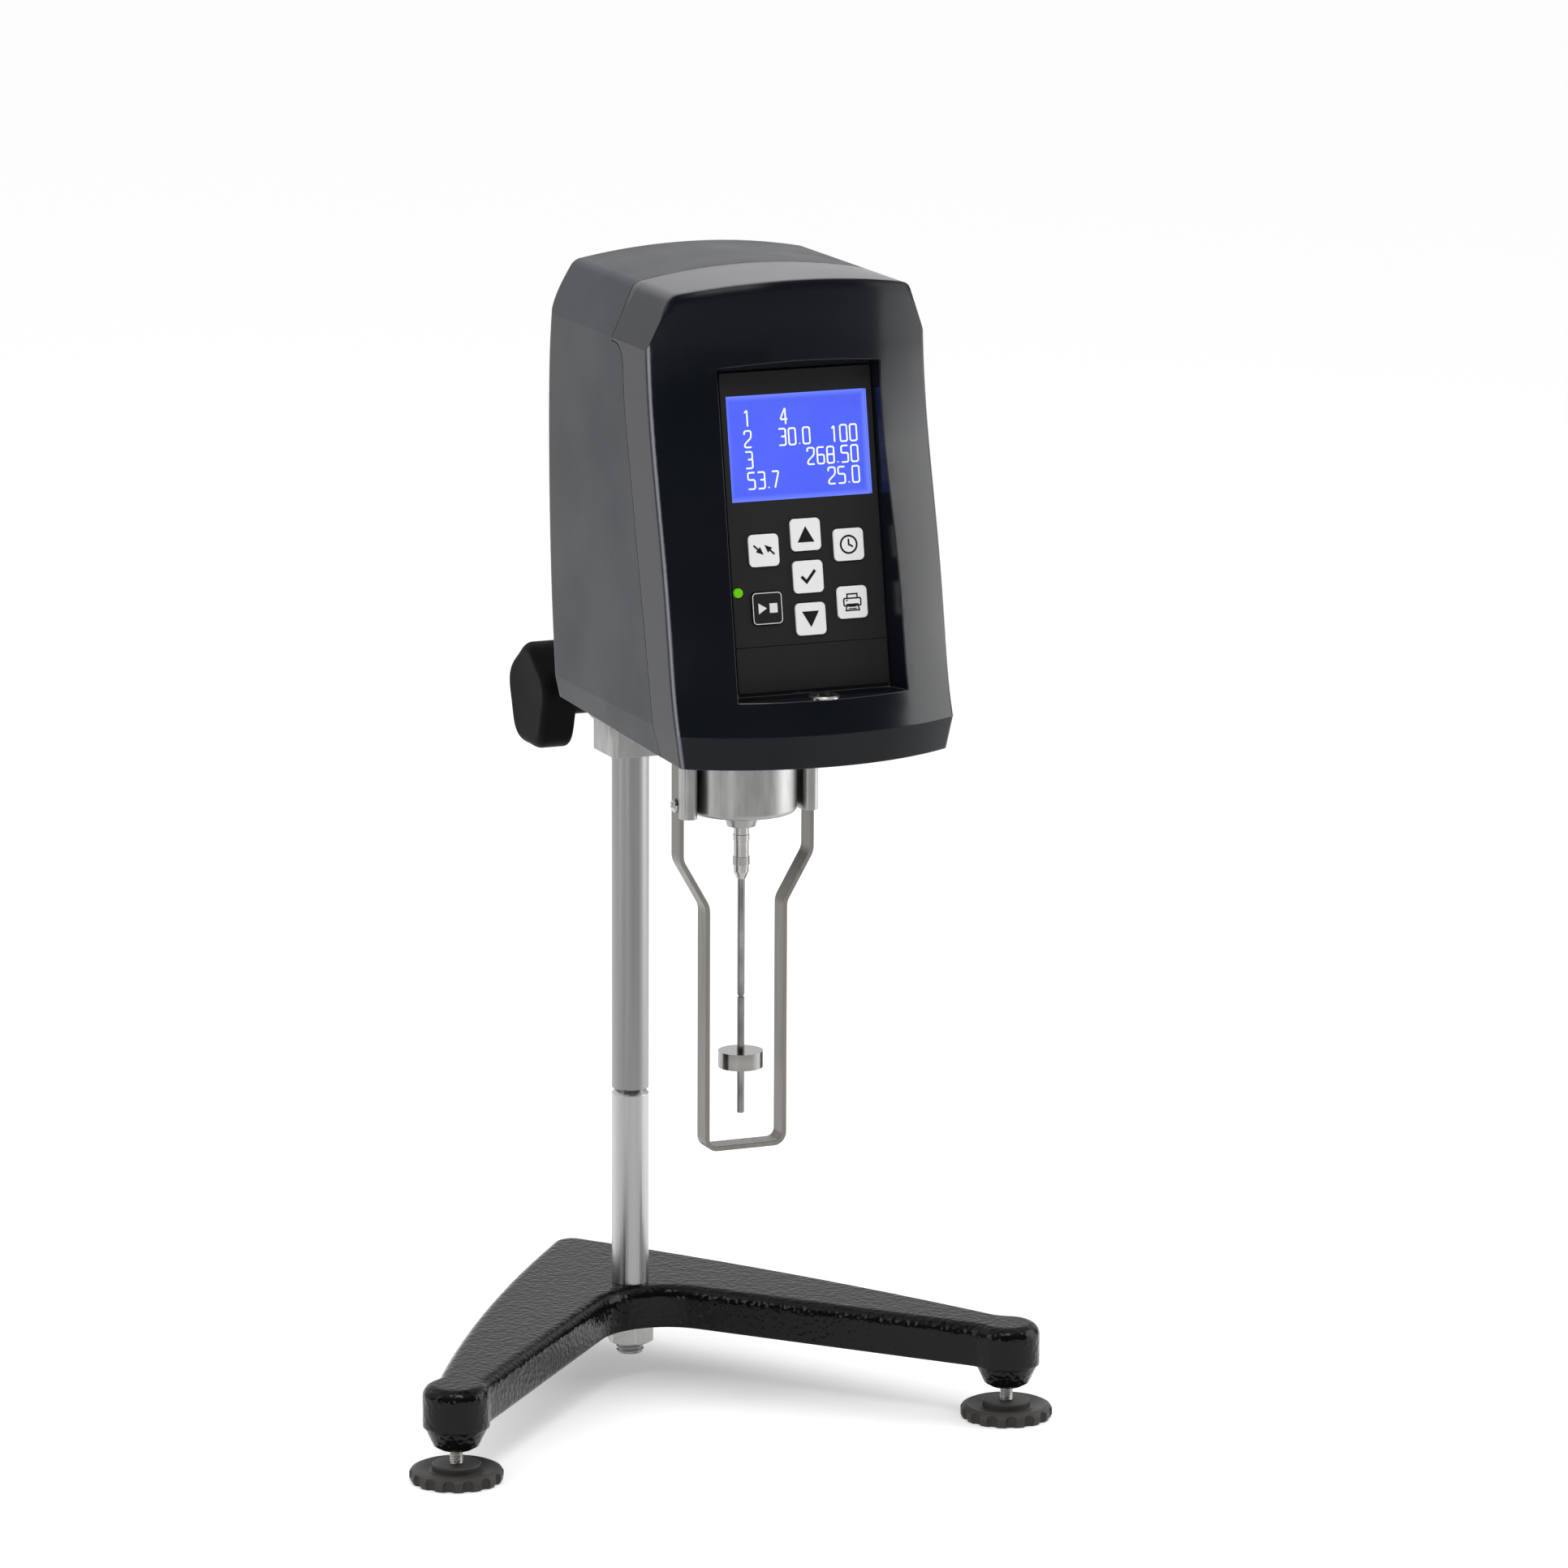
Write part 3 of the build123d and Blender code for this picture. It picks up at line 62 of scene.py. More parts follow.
# %% [markdown]
# ## The camera
#
# A product photograph is taken from far away with a long lens, so that upright edges stay nearly
# parallel. The angles and the place were worked out from the photograph: the eye is a little left
# of the front and looks slightly down. A camera can be aimed by tracking a target, but three
# turns in a row (compass, tilt, roll) repeat a measured view exactly.

# %% Camera
EYE = Vector((-1.24855, -3.07895, 0.99173))
COMPASS = radians(-22.73)
TILT = radians(12.16)
ROLL = radians(0.26)
FOCAL_LENGTH = 186.3

camera_data = bpy.data.cameras.new("long_lens")
camera_data.lens = FOCAL_LENGTH
camera_data.sensor_width = 36
camera = bpy.data.objects.new("camera", camera_data)
bpy.context.scene.collection.objects.link(camera)
turn = Matrix.Rotation(COMPASS, 4, "Z") @ Matrix.Rotation(pi / 2 - TILT, 4, "X")
camera.matrix_world = Matrix.Translation(EYE) @ turn @ Matrix.Rotation(ROLL, 4, "Z")
bpy.context.scene.camera = camera
bpy.context.scene.view_settings.view_transform = "Standard"
print("camera at", [round(v, 3) for v in EYE], "with a lens of", FOCAL_LENGTH, "mm")

# %% [markdown]
# ## The studio
#
# Gloss is only as good as what it reflects. The world is a soft dome, bright overhead and behind
# and dim in front, so that the dark housing keeps its depth while its top shines. Large lamps
# stand where the photograph shows their reflections: a wide one to the right, which greys the
# right half of the bowed front, a low narrow one to the left of the camera, one straight to the
# left, which draws the bright line down the left front edge, and one overhead. The floor is a
# plain pale sheet.

# %% Dome light
DOME_LEAN = radians(32)
# how far a direction points along the dome's leaning axis, and the brightness there
DOME_STEPS = ((0.0, 0.07), (0.22, 0.12), (0.60, 0.85), (1.0, 1.25))


def dome_light():
    """World whose brightness rises towards an axis that leans back from the zenith."""
    world = bpy.data.worlds.new("studio_dome")
    bpy.context.scene.world = world
    world.use_nodes = True
    tree = world.node_tree
    background = tree.nodes["Background"]
    direction = tree.nodes.new("ShaderNodeTexCoord")
    along = tree.nodes.new("ShaderNodeVectorMath")
    along.operation = "DOT_PRODUCT"
    along.inputs[1].default_value = (0, sin(DOME_LEAN), cos(DOME_LEAN))
    ramp = tree.nodes.new("ShaderNodeValToRGB")
    stops = ramp.color_ramp.elements
    for number, (height, level) in enumerate(DOME_STEPS):
        stop = stops[number] if number < 2 else stops.new(height)
        stop.position = height
        stop.color = (level, level, level * 1.02, 1)
    tree.links.new(direction.outputs["Generated"], along.inputs[0])
    tree.links.new(along.outputs["Value"], ramp.inputs["Fac"])
    tree.links.new(ramp.outputs["Color"], background.inputs["Color"])


dome_light()
print("dome leans back", round(DOME_LEAN * 180 / pi), "degrees")

# %% Lamps
SUBJECT = Vector((0, 0, 0.30))


def soft_box(name, compass, height, distance, size, power):
    """Area lamp that looks at the instrument from a compass angle, 0 being the front."""
    data = bpy.data.lights.new(name, "AREA")
    data.shape = "RECTANGLE"
    data.size, data.size_y = size
    data.energy = power
    lamp = bpy.data.objects.new(name, data)
    bpy.context.scene.collection.objects.link(lamp)
    angle = radians(compass)
    lamp.location = (distance * sin(angle), -distance * cos(angle), height)
    aim = SUBJECT - lamp.location
    lamp.rotation_euler = aim.to_track_quat("-Z", "Y").to_euler()
    lamp.visible_camera = False
    return lamp


soft_box("right_box", 75, 0.55, 1.25, (0.85, 1.10), 8)
soft_box("left_strip", -42, 0.15, 1.35, (0.12, 0.45), 0.8)
soft_box("left_box", -86, 0.55, 1.30, (0.30, 1.10), 3)
soft_box("top_box", -15, 1.60, 0.75, (0.60, 0.50), 9)
print("four lamps round", [round(v, 2) for v in SUBJECT])

# %% Floor
FLOOR_SIZE = 40
FLOOR_DROP = 0.0001
FLOOR_TONE = 0.90
FLOOR_LIFT = 0.30


def floor_paper():
    """Pale paper that looks white to the eye and in reflections, and lights nothing by itself."""
    material = bpy.data.materials.new("floor_paper")
    material.use_nodes = True
    tree = material.node_tree
    shader = tree.nodes["Principled BSDF"]
    shader.inputs["Roughness"].default_value = 0.9
    shader.inputs["Specular IOR Level"].default_value = 0.1
    shader.inputs["Base Color"].default_value = (FLOOR_TONE, FLOOR_TONE, FLOOR_TONE, 1)
    shader.inputs["Emission Color"].default_value = (1, 1, 1, 1)
    ray = tree.nodes.new("ShaderNodeLightPath")
    seen = ray.outputs["Is Camera Ray"]
    for kind in ("Is Glossy Ray", "Is Transmission Ray"):
        either = tree.nodes.new("ShaderNodeMath")
        either.operation = "MAXIMUM"
        tree.links.new(seen, either.inputs[0])
        tree.links.new(ray.outputs[kind], either.inputs[1])
        seen = either.outputs[0]
    lift = tree.nodes.new("ShaderNodeMath")
    lift.operation = "MULTIPLY"
    lift.inputs[1].default_value = FLOOR_LIFT
    tree.links.new(seen, lift.inputs[0])
    tree.links.new(lift.outputs[0], shader.inputs["Emission Strength"])
    return material


def floor_sheet():
    """Wide pale floor just under the feet."""
    mesh = bpy.data.meshes.new("floor")
    half = FLOOR_SIZE / 2
    corners = [(-half, -half, 0), (half, -half, 0), (half, half, 0), (-half, half, 0)]
    mesh.from_pydata(corners, [], [(0, 1, 2, 3)])
    floor = bpy.data.objects.new("floor", mesh)
    bpy.context.scene.collection.objects.link(floor)
    floor.location.z = -FLOOR_DROP
    mesh.materials.append(floor_paper())


floor_sheet()
print("floor", FLOOR_SIZE, "m wide, tone", FLOOR_TONE)

# %% [markdown]
# ## Effects that several finishes share
#
# Each effect is a shader node group with named sockets. It is made once and placed in each
# material with its own numbers. A group gives out only values, masks or normals, and the shader
# itself stays in the material.

# %% Node group helpers


def new_group(name, inputs, outputs):
    """Shader node group with (name, default) number inputs and (name, kind) outputs."""
    tree = bpy.data.node_groups.new(name, "ShaderNodeTree")
    face = tree.interface
    for socket, default in inputs:
        made = face.new_socket(name=socket, in_out="INPUT", socket_type="NodeSocketFloat")
        made.default_value = default
    for socket, kind in outputs:
        face.new_socket(name=socket, in_out="OUTPUT", socket_type=kind)
    return tree, tree.nodes.new("NodeGroupInput"), tree.nodes.new("NodeGroupOutput")


def add(tree, kind, links=(), **settings):
    """New node with its settings and (output, input name or number) links."""
    node = tree.nodes.new(kind)
    for key, value in settings.items():
        setattr(node, key, value)
    for source, target in links:
        tree.links.new(source, node.inputs[target])
    return node


def put(tree, socket, value):
    """Sets an input to a number, or links it to another node's output."""
    if isinstance(value, (int, float)):
        socket.default_value = value
    else:
        tree.links.new(value, socket)


def math_node(tree, operation, a, b=0.0, clamp=False):
    """Result of a Math node whose inputs are sockets or numbers."""
    node = add(tree, "ShaderNodeMath", operation=operation, use_clamp=clamp)
    put(tree, node.inputs[0], a)
    put(tree, node.inputs[1], b)
    return node.outputs[0]


def times(tree, *masks):
    """Product of several masks."""
    product = masks[0]
    for mask in masks[1:]:
        product = math_node(tree, "MULTIPLY", product, mask)
    return product


def largest(tree, *masks):
    """Largest of several masks."""
    most = masks[0]
    for mask in masks[1:]:
        most = math_node(tree, "MAXIMUM", most, mask)
    return most


def spread(tree, value, low, high, to_low=0.0, to_high=1.0):
    """Map Range node, clamped, from a span of the value to another span."""
    node = add(tree, "ShaderNodeMapRange", [(value, "Value")])
    spans = {"From Min": low, "From Max": high, "To Min": to_low, "To Max": to_high}
    for socket, number in spans.items():
        node.inputs[socket].default_value = number
    return node.outputs[0]


def on_object(tree):
    """Place on the object, as a vector."""
    return add(tree, "ShaderNodeTexCoord").outputs["Object"]


def place_axes(tree):
    """X, Y and Z of the place on the object."""
    return add(tree, "ShaderNodeSeparateXYZ", [(on_object(tree), 0)]).outputs


def facing_axes(tree):
    """X, Y and Z of the direction that a face looks in."""
    surface = add(tree, "ShaderNodeNewGeometry")
    return add(tree, "ShaderNodeSeparateXYZ", [(surface.outputs["Normal"], 0)]).outputs


def noise(tree, scale, detail=2.0, distortion=0.0, vector=None):
    """Value of a noise over the object, or over another vector."""
    node = add(tree, "ShaderNodeTexNoise", [(vector or on_object(tree), "Vector")])
    put(tree, node.inputs["Scale"], scale)
    put(tree, node.inputs["Detail"], detail)
    put(tree, node.inputs["Distortion"], distortion)
    return node.outputs["Fac"]


print("helpers for node groups are ready")

# %% [markdown]
# ### Moulded grain
#
# A moulded case takes the spark-eroded texture of its tool: pits a few tenths of a millimetre
# apart. Noise at that scale drives the bump, and a second, broader noise varies the gloss.

# %% Moulded grain group


def moulded_grain():
    tree, given, out = new_group(
        "moulded_grain", [("Scale", 2600.0)],
        [("Height", "NodeSocketFloat"), ("Gloss", "NodeSocketFloat")],
    )
    pits = noise(tree, given.outputs["Scale"], detail=3)
    clouds = noise(tree, 22, detail=4)
    tree.links.new(pits, out.inputs["Height"])
    tree.links.new(clouds, out.inputs["Gloss"])
    return tree


GRAIN = moulded_grain()
print(GRAIN.name, "has", len(GRAIN.nodes), "nodes")

# %% [markdown]
# ### Tool marks
#
# A turned rod has fine rings across its axis, and drawn or milled bar has streaks along one
# direction. Both are the same noise, squeezed along one axis, so one group does both: the three
# numbers say how often the marks repeat along X, Y and Z.

# %% Tool mark group


def tool_marks():
    tree, given, out = new_group(
        "tool_marks", [("Along X", 300.0), ("Along Y", 300.0), ("Along Z", 300.0)],
        [("Height", "NodeSocketFloat"), ("Streak", "NodeSocketFloat")],
    )
    scales = add(tree, "ShaderNodeCombineXYZ")
    for number, axis in enumerate(("Along X", "Along Y", "Along Z")):
        tree.links.new(given.outputs[axis], scales.inputs[number])
    stretched = add(tree, "ShaderNodeVectorMath", [(on_object(tree), 0), (scales.outputs[0], 1)],
                    operation="MULTIPLY")
    fine = noise(tree, 6, detail=4, vector=stretched.outputs[0])
    coarse = noise(tree, 1.2, vector=stretched.outputs[0])
    tree.links.new(fine, out.inputs["Height"])
    tree.links.new(coarse, out.inputs["Streak"])
    return tree


MARKS = tool_marks()
print(MARKS.name, "has", len(MARKS.nodes), "nodes")

# %% [markdown]
# ### Worn edges, and painted shade at the seam
#
# Handling polishes the corners first. The Bevel node rounds the shading normal near an edge, so
# where it differs from the true normal there is an edge. Noise breaks the line up. On the housing
# the same mask, kept near the seam, places painted shade there.

# %% Edge wear and seam shade group


def edge_wear_and_seam_shade():
    tree, given, out = new_group(
        "edge_wear_and_seam_shade", [("Width", 0.0006), ("Breakup", 0.35)], [("Mask", "NodeSocketFloat")],
    )
    rounded = add(tree, "ShaderNodeBevel", [(given.outputs["Width"], "Radius")], samples=6)
    surface = add(tree, "ShaderNodeNewGeometry")
    agree = add(tree, "ShaderNodeVectorMath",
                [(rounded.outputs[0], 0), (surface.outputs["Normal"], 1)], operation="DOT_PRODUCT")
    edge = spread(tree, agree.outputs["Value"], 0.995, 0.86)
    broken = times(tree, given.outputs["Breakup"], spread(tree, noise(tree, 420), 0.35, 0.65))
    kept = math_node(tree, "SUBTRACT", 1.0, broken)
    tree.links.new(math_node(tree, "MULTIPLY", edge, kept, clamp=True), out.inputs["Mask"])
    return tree


EDGE_WEAR_AND_SEAM_SHADE = edge_wear_and_seam_shade()
print(EDGE_WEAR_AND_SEAM_SHADE.name, "has", len(EDGE_WEAR_AND_SEAM_SHADE.nodes), "nodes")

# %% [markdown]
# ### Settled dust and smears
#
# A little dust lies on faces that look up, in uneven drifts, and fingers leave broad dull patches.

# %% Dust group


def settled_dust():
    tree, given, out = new_group(
        "settled_dust", [("Amount", 0.3)],
        [("Dust", "NodeSocketFloat"), ("Smear", "NodeSocketFloat")],
    )
    upward = spread(tree, facing_axes(tree)["Z"], 0.6, 1.0)
    patch = spread(tree, noise(tree, 55, detail=6), 0.42, 0.75)
    tree.links.new(times(tree, upward, patch, given.outputs["Amount"]), out.inputs["Dust"])
    fingers = noise(tree, 16, distortion=1.5)
    tree.links.new(spread(tree, fingers, 0.45, 0.7), out.inputs["Smear"])
    return tree


DUST = settled_dust()
print("effects:", [g.name for g in (GRAIN, MARKS, EDGE_WEAR_AND_SEAM_SHADE, DUST)])

# %% [markdown]
# ## Finishes
#
# A finish starts from the Principled shader. What is the same all over is set on the shader's own
# sockets, and only what changes over the surface is linked. A small class keeps the steps short.

# %% Finish helper


class Finish:
    """A material under construction."""

    def __init__(self, name, color, roughness, metallic=0.0, **sockets):
        self.material = bpy.data.materials.new(name)
        self.material.use_nodes = True
        self.tree = self.material.node_tree
        self.shader = self.tree.nodes["Principled BSDF"]
        self.color = (*color, 1)
        self.shader.inputs["Base Color"].default_value = self.color
        self.shader.inputs["Roughness"].default_value = roughness
        self.shader.inputs["Metallic"].default_value = metallic
        for socket, value in sockets.items():
            self.shader.inputs[socket.replace("_", " ")].default_value = value

    def effect(self, group, **values):
        """Places an effect group and sets its inputs."""
        node = self.tree.nodes.new("ShaderNodeGroup")
        node.node_tree = group
        for socket, value in values.items():
            node.inputs[socket.replace("_", " ")].default_value = value
        return node.outputs

    def link(self, source, socket):
        self.tree.links.new(source, self.shader.inputs[socket])

    def tint(self, mask, color, base=None):
        """Mixes a colour in by a mask and leaves the result on Base Color."""
        mix = add(self.tree, "ShaderNodeMix", [(mask, "Factor")], data_type="RGBA")
        mix.inputs[7].default_value = (*color, 1)
        if base is None:
            mix.inputs[6].default_value = self.color
        else:
            self.tree.links.new(base, mix.inputs[6])
        self.link(mix.outputs[2], "Base Color")
        return mix.outputs[2]

    def gloss(self, mask, low, high):
        """Roughness that follows a mask."""
        self.link(spread(self.tree, mask, 0.3, 0.7, low, high), "Roughness")

    def bump(self, height, distance, onto=None):
        """Bump from a height, in metres, on top of another normal if there is one."""
        node = add(self.tree, "ShaderNodeBump", [(height, "Height")])
        node.inputs["Distance"].default_value = distance
        node.inputs["Strength"].default_value = 1
        if onto is not None:
            self.tree.links.new(onto, node.inputs["Normal"])
        self.link(node.outputs[0], "Normal")
        return node.outputs[0]

    def soft_edges(self, radius, samples=6, wide=None):
        """Rounds the shading of sharp edges; wide is a larger radius and where it starts."""
        node = add(self.tree, "ShaderNodeBevel", samples=samples)
        node.inputs["Radius"].default_value = radius
        if wide is not None:
            wide_radius, height = wide
            up = place_axes(self.tree)["Z"]
            above = spread(self.tree, up, height, height + 4 * MM, radius, wide_radius)
            self.tree.links.new(above, node.inputs["Radius"])
        self.link(node.outputs[0], "Normal")
        return node.outputs[0]

    def dull(self, mask, level, low):
        """Specular level that falls from one value to a lower one by a mask."""
        self.link(spread(self.tree, mask, 0, 1, level, low), "Specular IOR Level")


print("finish steps:", [step for step in vars(Finish) if not step.startswith("_")])

# %% [markdown]
# ### The housing
#
# The front is moulded in glossy blue-black plastic, which picks up tall soft reflections. The rear
# is the same material with a fine satin texture, so it looks lighter and greyer. In the photograph
# the flank of the front half is as dark as the rear, and its lower band and brow are darker still:
# there they mirror the unlit side of the studio. Under plain soft light the same look comes from
# less shine by place. Along the seam both halves get painted shade, a dark line in which neither
# half shines, and the corners beside the bowed front get a painted highlight, a pale line.

# %% Housing plastics
SEAM_FRONT = -113 * MM
SEAM_REAR = -60 * MM
SEAM_FADE = 1 * MM
SIDE_START = 44 * MM
SIDE_END = 46 * MM
BROW_LOW = 435 * MM
BROW_HIGH = 475 * MM
TOP_EDGE = 490 * MM


def beside_seam(tree, mask):
    """Keeps a mask only near the seam between the halves of the housing, where shade is painted."""
    y = place_axes(tree)["Y"]
    behind = spread(tree, y, SEAM_FRONT, SEAM_FRONT + SEAM_FADE)
    before = spread(tree, y, SEAM_REAR + SEAM_FADE, SEAM_REAR)
    return times(tree, mask, behind, before)


def at_side(tree):
    """Mask outside the panel and its recess, on the left and on the right."""
    away = math_node(tree, "ABSOLUTE", place_axes(tree)["X"])
    return spread(tree, away, SIDE_START, SIDE_END)


def corners(tree):
    """Mask on the rounded corners between the bowed front and the flanks, where a pale highlight is
    painted.
    """
    facing = facing_axes(tree)
    sideways = math_node(tree, "ABSOLUTE", facing["X"])
    turned_in = spread(tree, sideways, 0.66, 0.78)
    turned_out = spread(tree, sideways, 0.96, 0.90)
    forward = spread(tree, facing["Y"], -0.2, -0.35)
    return times(tree, turned_in, turned_out, forward, at_side(tree))


def unlit(tree):
    """Mask over the flanks of the front half, its lower band and its brow."""
    facing = facing_axes(tree)
    sideways = spread(tree, math_node(tree, "ABSOLUTE", facing["X"]), 0.76, 0.90)
    flank = times(tree, at_side(tree), sideways, 0.42)
    under = spread(tree, facing["Z"], 0.0, -0.12, 0.0, 0.7)
    frontal = spread(tree, facing["Y"], -0.7, -0.8)
    brow = times(tree, frontal, spread(tree, place_axes(tree)["Z"], BROW_LOW, BROW_HIGH, 0.0, 0.7))
    return largest(tree, flank, under, brow)


def front_plastic():
    finish = Finish("glossy_front_plastic", (0.0030, 0.0046, 0.0072), 0.2)
    tree = finish.tree
    grain = finish.effect(GRAIN, Scale=900.0)
    dust = finish.effect(DUST, Amount=0.02)
    edges = finish.effect(EDGE_WEAR_AND_SEAM_SHADE, Width=0.0006, Breakup=0.0)["Mask"]
    finish.gloss(grain["Gloss"], 0.14, 0.22)
    # painted shade: the edge mask kept only at the seam, where the gap between the halves lies in
    # shade
    seam = beside_seam(tree, edges)
    lips = math_node(tree, "SUBTRACT", edges, seam, clamp=True)
    dusty = finish.tint(dust["Dust"], (0.2, 0.2, 0.2))
    # painted highlight: a pale line on the corners beside the bowed front
    painted_corner_highlight = finish.tint(corners(tree), (0.17, 0.18, 0.20), dusty)
    lipped = finish.tint(lips, (0.05, 0.052, 0.058), painted_corner_highlight)
    # painted shade along the seam: its edges are tinted near black, and below they lose their shine
    finish.tint(seam, (0.0005, 0.0005, 0.0005), lipped)
    finish.dull(largest(tree, seam, unlit(tree)), 0.5, 0.0)
    rounded = finish.soft_edges(0.0008, samples=8, wide=(0.006, TOP_EDGE))
    finish.bump(grain["Height"], 0.000003, onto=rounded)
    return finish.material


def rear_plastic():
    finish = Finish("satin_rear_plastic", (0.036, 0.039, 0.045), 0.5, Specular_IOR_Level=0.35)
    grain = finish.effect(GRAIN, Scale=2600.0)
    dust = finish.effect(DUST, Amount=0.08)
    edges = finish.effect(EDGE_WEAR_AND_SEAM_SHADE, Width=0.0006, Breakup=0.0)["Mask"]
    finish.gloss(grain["Gloss"], 0.42, 0.54)
    dusty = finish.tint(dust["Dust"], (0.3, 0.3, 0.3))
    # painted shade along the seam: its edges are tinted near black and lose their shine
    seam = beside_seam(finish.tree, edges)
    finish.tint(seam, (0.002, 0.002, 0.002), dusty)
    finish.dull(seam, 0.35, 0.0)
    rounded = finish.soft_edges(0.0006)
    finish.bump(grain["Height"], 0.00002, onto=rounded)
    return finish.material


# %% [markdown]
# ### The stand
#
# The casting was sand-cast, filled and dipped in black enamel. The enamel follows the lumps of
# the casting and adds its own orange peel, so highlights break into ripples. Two noises of
# different size make that skin. The top is duller than the sides, as the enamel settles there and
# gets wiped.

# %% Enamelled casting


def casting_enamel():
    finish = Finish("black_casting_enamel", (0.0035, 0.0035, 0.0035), 0.2)
    tree = finish.tree
    lumps = noise(tree, 120)
    skin = add(tree, "ShaderNodeTexVoronoi", [(on_object(tree), "Vector")], feature="SMOOTH_F1")
    skin.inputs["Scale"].default_value = 480
    dust = finish.effect(DUST, Amount=0.01)
    worn = finish.effect(EDGE_WEAR_AND_SEAM_SHADE, Width=0.001, Breakup=0.5)
    dusty = finish.tint(dust["Dust"], (0.2, 0.2, 0.2))
    finish.tint(worn["Mask"], (0.012, 0.012, 0.012), dusty)
    rounded = finish.soft_edges(0.002)
    rough = finish.bump(lumps, 0.00006, onto=rounded)
    finish.bump(skin.outputs["Distance"], 0.0003, onto=rough)
    finish.gloss(lumps, 0.07, 0.15)
    finish.dull(spread(tree, facing_axes(tree)["Z"], 0.7, 0.95), 0.18, 0.05)
    return finish.material


print("the casting has a skin of two sizes")

# %% [markdown]
# ### Metals
#
# Metal is told apart by its marks more than by its colour. The column is drawn along its length,
# the carriage and posts are milled and blasted, the guard is drawn strip, and the hub and level
# ring are turned bright. A round bar gets a painted reflection in its colour: it is darker where it
# faces the eye, standing for the unlit room behind the photographer mirrored there. Layer Weight
# tells how far a face turns away, so the painted colour follows that.

# %% Metals


# painted reflection: how far a face turns away from the eye, and how much of the metal's colour
# comes back there
PAINTED_REFLECTION_STEPS = ((0.0, 0.1), (0.16, 0.0), (0.34, 0.85), (0.62, 1.3), (1.0, 0.6))


def painted_dark_reflection(finish, color, share):
    """Painted reflection: colour that is darker where a round bar faces the eye, standing for the
    unlit room mirrored there.
    """
    facing = add(finish.tree, "ShaderNodeLayerWeight")
    facing.inputs["Blend"].default_value = 0.5
    ramp = add(finish.tree, "ShaderNodeValToRGB", [(facing.outputs["Facing"], "Fac")])
    stops = ramp.color_ramp.elements
    for number, (away, back) in enumerate(PAINTED_REFLECTION_STEPS):
        stop = stops[number] if number < 2 else stops.new(away)
        stop.position = away
        level = share + (1 - share) * back
        stop.color = (*[min(1.0, c * level) for c in color], 1)
    return ramp.outputs["Color"]


def metal(name, color, roughness, along, depth, spread_of_gloss=0.05, edge=0.0004, painted_core=1.0):
    """Metal with tool marks; along says how often they repeat along X, Y and Z.

    painted_core is the share of its colour that a round bar keeps where it faces the eye: a painted
    reflection of the unlit room.
    """
    finish = Finish(name, color, roughness, metallic=1.0)
    marks = finish.effect(MARKS, Along_X=along[0], Along_Y=along[1], Along_Z=along[2])
    finish.gloss(marks["Streak"], roughness - spread_of_gloss, roughness + spread_of_gloss)
    brighter = [min(1.0, c * 1.25) for c in color]
    darker = [c * 0.88 for c in color]
    # painted reflection: the colour is darker where a round bar faces the eye
    base = painted_dark_reflection(finish, color, painted_core) if painted_core < 1 else None
    streaked = finish.tint(spread(finish.tree, marks["Streak"], 0.35, 0.9), darker, base)
    rounded = None
    if edge:
        worn = finish.effect(EDGE_WEAR_AND_SEAM_SHADE, Width=edge, Breakup=0.4)
        finish.tint(worn["Mask"], brighter, streaked)
        rounded = finish.soft_edges(edge)
    finish.bump(marks["Height"], depth, onto=rounded)
    return finish.material


# %% [markdown]
# ### Small plastics, films and glass
#
# The keypad is a matt film with white keys. The display is a lit panel behind a clear window. The
# feet and the knob are moulded in plain black plastic with a satin grain.

# %% Plastics, films and glass


def moulded(name, color, low, high, grain_scale=2200.0, depth=0.00002, dust_amount=0.05,
            edge=0.0005, shine=0.25):
    """Moulded plastic or rubber with grain, dust and slightly paler edges."""
    finish = Finish(name, color, high, Specular_IOR_Level=shine)
    grain = finish.effect(GRAIN, Scale=grain_scale)
    dust = finish.effect(DUST, Amount=dust_amount)
    worn = finish.effect(EDGE_WEAR_AND_SEAM_SHADE, Width=edge, Breakup=0.6)
    finish.gloss(grain["Gloss"], low, high)
    dusty = finish.tint(dust["Dust"], [c * 0.7 + 0.12 for c in color])
    finish.tint(worn["Mask"], [min(1.0, c * 1.2 + 0.004) for c in color], dusty)
    rounded = finish.soft_edges(edge)
    finish.bump(grain["Height"], depth, onto=rounded)
    return finish.material


def clear(name, color, roughness, ior=1.49):
    """Clear plastic or glass with faint smears."""
    finish = Finish(name, color, roughness, Transmission_Weight=1.0, IOR=ior)
    dust = finish.effect(DUST, Amount=0.1)
    finish.gloss(dust["Smear"], roughness, roughness + 0.03)
    return finish.material


def board_green():
    """Solder resist with a faint pattern of tracks."""
    finish = Finish("board_green", (0.015, 0.08, 0.03), 0.35)
    tracks = add(finish.tree, "ShaderNodeTexBrick", [(on_object(finish.tree), "Vector")])
    tracks.inputs["Scale"].default_value = 160
    worn = finish.effect(EDGE_WEAR_AND_SEAM_SHADE, Width=0.0003, Breakup=0.3)
    base = finish.tint(tracks.outputs["Fac"], (0.03, 0.14, 0.05))
    finish.tint(worn["Mask"], (0.3, 0.25, 0.1), base)
    finish.bump(tracks.outputs["Fac"], 0.00003)
    return finish.material


def lit(name, color, strength, roughness=0.35):
    """Self-lit plastic with slightly uneven light."""
    finish = Finish(name, color, roughness, Emission_Strength=strength)
    cloud = spread(finish.tree, noise(finish.tree, 90), 0.3, 0.7)
    glow = add(finish.tree, "ShaderNodeMix", [(cloud, "Factor")], data_type="RGBA")
    glow.inputs[6].default_value = (*[c * 0.94 for c in color], 1)
    glow.inputs[7].default_value = (*[min(1.0, c * 1.06) for c in color], 1)
    finish.link(glow.outputs[2], "Emission Color")
    return finish.material


